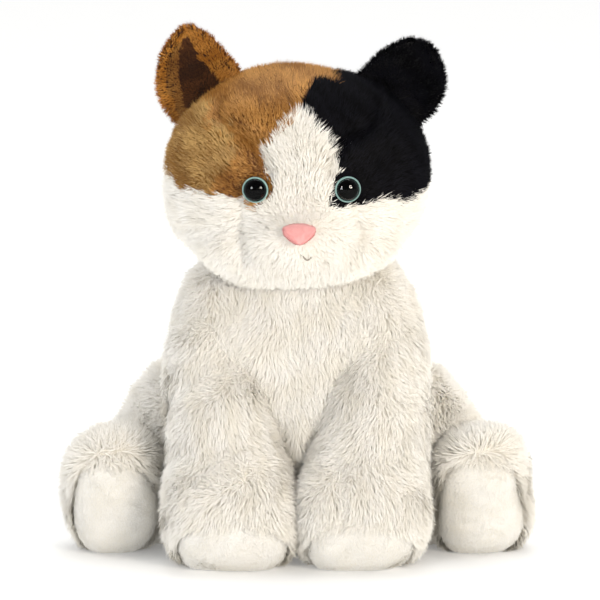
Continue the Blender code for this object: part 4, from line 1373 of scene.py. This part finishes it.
@dataclass
class Face:
    """The moulded eyes, the plush nose and the mouth's stitches."""

    head: Head
    palette: Palette
    finish: EyeFinish = field(default_factory=EyeFinish)
    eye_radius: float = 6.7 * MM
    eye_bulge: float = 4.6 * MM
    dome_share: float = 0.965            # the dome's radius over the eye's, inside the ring
    moulding_profile: tuple = (          # radii over the eye's, and heights in mm
        (0.0, -4.0), (0.36, -4.0), (0.36, -0.9), (1.0, -0.9), (1.05, -0.5), (1.05, 0.9), (1.02, 1.5),
        (0.985, 1.95), (0.95, 2.0), (0.93, 1.6), (0.975, 0.4), (0.98, -0.3), (0.0, -0.3))
    print_rings: tuple = (0.66, 0.83, 0.87)    # where pupil, inner iris and iris end, over the eye's radius
    nose_centre: Array = field(default_factory=lambda: mm(1.1, -97.2, 185.6))
    nose_sizes: tuple[float, float, float] = (9.4 * MM, 3.0 * MM, 6.4 * MM)
    nose_lean: float = math.radians(22)
    lip: tuple = (                       # x, z and height over the face, in mm
        (1.0, 177, -3.0), (1.4, 174, -3.0), (3.2, 171.8, -0.6), (5.4, 171.0, 1.2), (8.2, 171.6, -0.6))
    thread: float = 0.38 * MM

    def surface_at(self, x: float, z: float) -> tuple[Array, Array]:
        """The point of the face at a given x and z, and the way that its surface points there."""
        start = np.array([x, self.head.centre[1], z])
        point = project(np.array([[0.0, -1.0, 0.0]]), start, self.head.form, 0.0)[0]
        step = 0.5 * MM
        probes = np.vstack([point + np.eye(3) * step, point - np.eye(3) * step])
        value = self.head.form(probes)
        return point, unit(value[:3] - value[3:], 0.0)

    def build_eye(self, side: Side) -> None:
        """A dark moulded back with a pale rim, the printed iris and pupil, and the clear dome over them."""
        place, out = self.surface_at(*self.head.eye_place(side))
        out = unit(out * 0.55 + np.array([0, -1.0, 0]) * 0.45, 0.0)
        place = place - out * 0.4 * MM
        radius, word, finish = self.eye_radius, side.word, self.finish
        black = finish.plain(f"{word}_eye_moulding", finish.moulding, 0.25)
        iris = finish.plain(f"{word}_eye_iris_print", finish.iris, 0.9, 0.0)
        inner_iris = finish.plain(f"{word}_eye_inner_iris_print", finish.inner_iris, 0.9, 0.0)
        pupil = finish.plain(f"{word}_eye_pupil_print", finish.pupil, 0.9, 0.0)
        ring = finish.plain(f"{word}_eye_ring_paint", finish.ring, 0.4)
        turn = np.linspace(0, math.pi / 2, 15)[::-1]
        dome = np.column_stack([radius * self.dome_share * np.sin(turn), self.eye_bulge * np.cos(turn)])
        foot = np.array([[0.0, -0.6 * MM], [radius * 0.96, -0.6 * MM]])
        lens = turned_surface(np.vstack([foot, dome]), place, out)
        clear = mesh_object(f"{word}_eye_dome", lens.points, lens.triangles, [finish.clear()])
        cup = turned_surface(np.array(self.moulding_profile) * [radius, MM], place, out)
        on_ring = (cup.centres() - place) @ out > 0.8 * MM
        moulding = mesh_object(f"{word}_eye_moulding", cup.points, cup.triangles, [black, ring], on_ring)
        edges = np.array([0.97, 0.88, 0.84, 0.68, 0.62, 0.30, 0.0])
        bowed = np.column_stack([edges, 0.55 * (1 - edges ** 2)])
        print_profile = np.vstack([[[0.0, -0.25], [0.97, -0.25]], bowed]) * [radius, MM * 1.6]
        disc = turned_surface(print_profile, place, out)
        gap = np.linalg.norm(np.cross(disc.centres() - place, out), axis=1) / radius
        shades = np.searchsorted(self.print_rings, gap, side="right")
        print_piece = mesh_object(f"{word}_eye_print", disc.points, disc.triangles,
                                  [pupil, inner_iris, iris, ring], shades)
        for piece in (clear, moulding, print_piece):
            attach(piece, "head")
        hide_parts(f"{word}_eye")
        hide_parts(f"{word}_eye")
        LOG.info("%s eye", word)

    def build_nose(self) -> None:
        """A small velour pad: broad and flat above, and narrower and rounded below.

        It is an ellipsoid on a grid of two turns, narrowed by its height, flattened above, and leant back.
        """
        rings, around = 30, 60
        turn = np.arange(around) / around * 2 * math.pi
        fall = math.pi * (1 - np.arange(1, rings + 1) / (rings + 1))
        x = np.sin(fall)[:, None] * np.cos(turn)
        z = np.sin(fall)[:, None] * np.sin(turn)
        y = np.repeat(np.cos(fall)[:, None], around, axis=1)
        taper = np.clip(0.66 + 0.48 * (z + 1) / 2, 0, 1.0) * np.where(z < -0.2, 1 - 0.2 * (-0.2 - z), 1.0)
        flat_top = np.where(z > 0.45, 0.45 + (z - 0.45) * 0.55, z)
        rows = np.stack([x * taper, -y, flat_top], axis=-1) * self.nose_sizes
        lean, centre = self.nose_lean, self.nose_centre
        cos, sin = math.cos(lean), math.sin(lean)
        tilt = np.array([[1, 0, 0], [0, cos, -sin], [0, sin, cos]])
        back, front = np.array([[0, self.nose_sizes[1], 0], [0, -self.nose_sizes[1], 0]]) @ tilt + centre
        pad = closed_grid((rows @ tilt + centre)[:, ::-1], back, front)
        piece = mesh_object("nose_pad", pad.points, pad.triangles, [self.palette.nose])
        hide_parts("nose")
        dress(piece, "head")

        def comb(roots: Roots) -> Array:
            """The nap: down, and out from the middle."""
            return np.column_stack([(roots.points[:, 0] - centre[0]) / (9 * MM), np.zeros(len(roots.points)),
                                    -np.ones(len(roots.points))])

        dress(NOSE_COAT.grow("nose_pile", pad, [NOSE_PILE], self.palette, 3700, comb), "head")

    def build_mouth(self) -> None:
        """Thread that turns up along the lip, with its ends sunk in the pile, uneven as it twists."""
        places = []
        for x, z, lift in self.lip:
            place, out = self.surface_at(x * MM, z * MM)
            places.append(place + out * lift * MM)
        route, sizes = smooth_route(places, [self.thread] * len(places), 40)
        twist = 1 + 0.22 * np.sin(np.arange(len(sizes)) * 1.6)
        thread = swept_surface(route, sizes * twist, 10)
        material = self.finish.plain("grey_embroidery_thread", "#938A80", 0.6)
        piece = mesh_object("mouth_thread", thread.points, thread.triangles, [material])
        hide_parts("mouth_stitching")
        dress(piece, "head")

    def build(self) -> None:
        """Makes the eyes, the nose and the mouth."""
        for side in Side:
            self.build_eye(side)
        self.build_nose()
        self.build_mouth()


# What stays of the design's own solids

class Inside:
    """The filling, pouch, pellets and washers: the design's own solids, with a finish of their own."""

    FIBRE = ("head_stuffing", "torso_stuffing", "neck_stuffing", "tail_stuffing", "right_front_leg_stuffing",
             "left_front_leg_stuffing", "right_hind_leg_stuffing", "left_hind_leg_stuffing")

    def finish(self, name: str, dark: str, light: str, scale: float, rough: float) -> bpy.types.Material:
        """A mottled, bumpy material: wool-like for fibre, finer for cloth and moulded plastic."""
        material, shader = blank_material(name)
        tree = material.node_tree
        colour, noise = mottled(tree, linear(dark), linear(light), scale, 4.0)
        bump = add_node(tree, "ShaderNodeBump", {"Strength": 0.5, "Distance": 0.5 * MM}, Height=noise)
        tree.links.new(colour, shader.inputs["Base Color"])
        tree.links.new(bump.outputs["Normal"], shader.inputs["Normal"])
        shader.inputs["Roughness"].default_value = rough
        return material

    def build(self, nodes: dict[str, bpy.types.Object]) -> None:
        """Assigns the finishes to the design's solids."""
        fibre = self.finish("polyester_fibre_fill", "#E2E2E0", "#F6F6F4", 220.0, 0.95)
        pouch = self.finish("nonwoven_pouch_cloth", "#C8C8C4", "#DCDCD8", 900.0, 0.9)
        pellets = self.finish("polyethylene_pellets", "#DADAD4", "#F0F0EC", 400.0, 0.4)
        washer = self.finish("moulded_washer_plastic", "#D8D8D4", "#E8E8E4", 600.0, 0.4)
        looks = {name: fibre for name in self.FIBRE}
        looks.update({"bean_pouch": pouch, "bean_pellets": pellets, "right_eye_washer": washer,
                      "left_eye_washer": washer})
        for name, material in looks.items():
            piece = nodes[name]
            piece.data.materials.clear()
            piece.data.materials.append(material)


# Studio

@dataclass(frozen=True)
class Softbox:
    """A square area lamp that points at the cat's middle."""

    name: str
    place: tuple[float, float, float]
    size: float
    power: float
    colour: str

    def build(self) -> None:
        """Makes the lamp."""
        light = bpy.data.lights.new(self.name, "AREA")
        light.shape = "SQUARE"
        light.size = self.size
        light.energy = self.power
        light.color = linear(self.colour)[:3]
        lamp = bpy.data.objects.new(self.name, light)
        bpy.context.scene.collection.objects.link(lamp)
        aim(lamp, np.array(self.place), mm(0, -30, 140))


def aim(item: bpy.types.Object, place: Array, target: Array) -> None:
    """Places a lamp or camera so that its -Z axis runs to the target and its Y axis points up."""
    item.location = place
    item.rotation_euler = Vector(target - place).to_track_quat("-Z", "Y").to_euler()


@dataclass(frozen=True)
class Studio:
    """A pale floor that runs into the background, soft lamps and the camera."""

    target: tuple[float, float, float] = (1.6, -60.0, 143.0)
    elevation: float = 10.0
    distance: float = 3600.0
    frame_width: float = 321.6           # mm across the frame at the target
    sensor: float = 36.0
    floor_half: float = 6.0              # m
    floor_glow: float = 0.16
    mirrored: float = 0.2                # how much of the room and the floor is left in reflections
    room: tuple[float, float] = (0.26, 1.12)    # the room's light in front of the cat and behind it
    lamps: tuple[Softbox, ...] = (
        Softbox("key_softbox", (0.9, -1.45, 0.62), 0.5, 15.0, "#FFF6EA"),
        Softbox("fill_softbox", (-1.1, -1.5, 0.5), 0.5, 7.5, "#F4F6FA"),
        Softbox("top_softbox", (0.0, 0.3, 1.6), 1.0, 4.5, "#FFFFFF"))

    def build(self) -> None:
        """Makes the floor, the world, the lamps and the camera."""
        scene = bpy.context.scene
        scene.view_settings.view_transform = "Standard"
        corners = np.array([[-1, -1, 0], [1, -1, 0], [1, 1, 0], [-1, 1, 0]]) * self.floor_half
        floor = mesh_object("floor", corners, np.array([[0, 1, 2], [0, 2, 3]]), [self.floor_material()])
        world = bpy.data.worlds.new("studio")
        world.use_nodes = True
        self.light_room(world.node_tree)
        scene.world = world
        for lamp in self.lamps:
            lamp.build()
        self.camera(scene)

    def light_room(self, tree: bpy.types.NodeTree) -> None:
        """A white room, darker in front of the cat, and dark to mirrors, as if flags kept it off the eyes."""
        dim, bright = self.room
        way = add_node(tree, "ShaderNodeTexCoord").outputs["Generated"]
        ahead = add_node(tree, "ShaderNodeSeparateXYZ", Vector=way).outputs["Y"]
        settings = {"interpolation_type": "SMOOTHSTEP", "From Min": -0.6, "From Max": 0.1, "To Min": dim,
                    "To Max": bright}
        glow = add_node(tree, "ShaderNodeMapRange", settings, Value=ahead)
        strength = add_node(tree, "ShaderNodeMath", {"operation": "MULTIPLY"})
        tree.links.new(glow.outputs["Result"], strength.inputs[0])
        tree.links.new(self.flagged(tree), strength.inputs[1])
        background = tree.nodes["Background"]
        background.inputs["Color"].default_value = linear("#FFFFFF")
        tree.links.new(strength.outputs[0], background.inputs["Strength"])

    def flagged(self, tree: bpy.types.NodeTree) -> bpy.types.NodeSocket:
        """A factor that is 1 for direct and soft light and less for what mirrors see."""
        ray = add_node(tree, "ShaderNodeLightPath").outputs["Is Glossy Ray"]
        settings = {"To Min": 1.0, "To Max": self.mirrored}
        return add_node(tree, "ShaderNodeMapRange", settings, Value=ray).outputs["Result"]

    def floor_material(self) -> bpy.types.Material:
        """Seamless studio paper: white, matte, with a very faint mottle and a faint glow of its own."""
        material, shader = blank_material("white_studio_paper")
        tree = material.node_tree
        colour = mottled(tree, linear("#FAFAF9"), linear("#FCFCFB"), 30.0)[0]
        factor = self.flagged(tree)
        tint = add_node(tree, "ShaderNodeVectorMath", {"operation": "SCALE"}, Scale=factor)
        tree.links.new(colour, tint.inputs[0])
        glow = add_node(tree, "ShaderNodeMath", {"operation": "MULTIPLY"})
        glow.inputs[0].default_value = self.floor_glow
        tree.links.new(factor, glow.inputs[1])
        tree.links.new(tint.outputs["Vector"], shader.inputs["Base Color"])
        tree.links.new(glow.outputs[0], shader.inputs["Emission Strength"])
        shader.inputs["Emission Color"].default_value = linear("#FFFFFF")
        shader.inputs["Roughness"].default_value = 1.0
        shader.inputs["Specular IOR Level"].default_value = 0.0
        return material

    def camera(self, scene: bpy.types.Scene) -> None:
        """A long lens, as far off and as high as the view needs."""
        lens = bpy.data.cameras.new("camera")
        lens.sensor_width = self.sensor
        lens.lens = self.sensor * self.distance / self.frame_width
        lens.clip_end = 20.0
        camera = bpy.data.objects.new("camera", lens)
        scene.collection.objects.link(camera)
        rise = math.radians(self.elevation)
        target = mm(*self.target)
        place = target + self.distance * MM * np.array([0.0, -math.cos(rise), math.sin(rise)])
        aim(camera, place, target)
        scene.camera = camera


def main() -> None:
    """Builds the cat round the frame, piece by piece."""
    logging.basicConfig(level=logging.INFO, format="%(message)s")
    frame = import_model()
    Studio().build()
    palette = Palette()
    head = Head(palette)
    head.build()
    torso = Torso(palette, head)
    torso.build()
    Ear(Side.RIGHT, mm(-60, -30, 287), head, palette).build()
    Ear(Side.LEFT, mm(66, -30, 279), head, palette, shift=3 * MM, blunt=3.8 * MM).build()
    for side in Side:
        FrontLeg(side, palette, torso).build()
        HindLeg(side, palette, torso).build()
    Tail(palette).build()
    Face(head, palette).build()
    Inside().build(frame["nodes"])


if __name__ == "__main__":
    main()
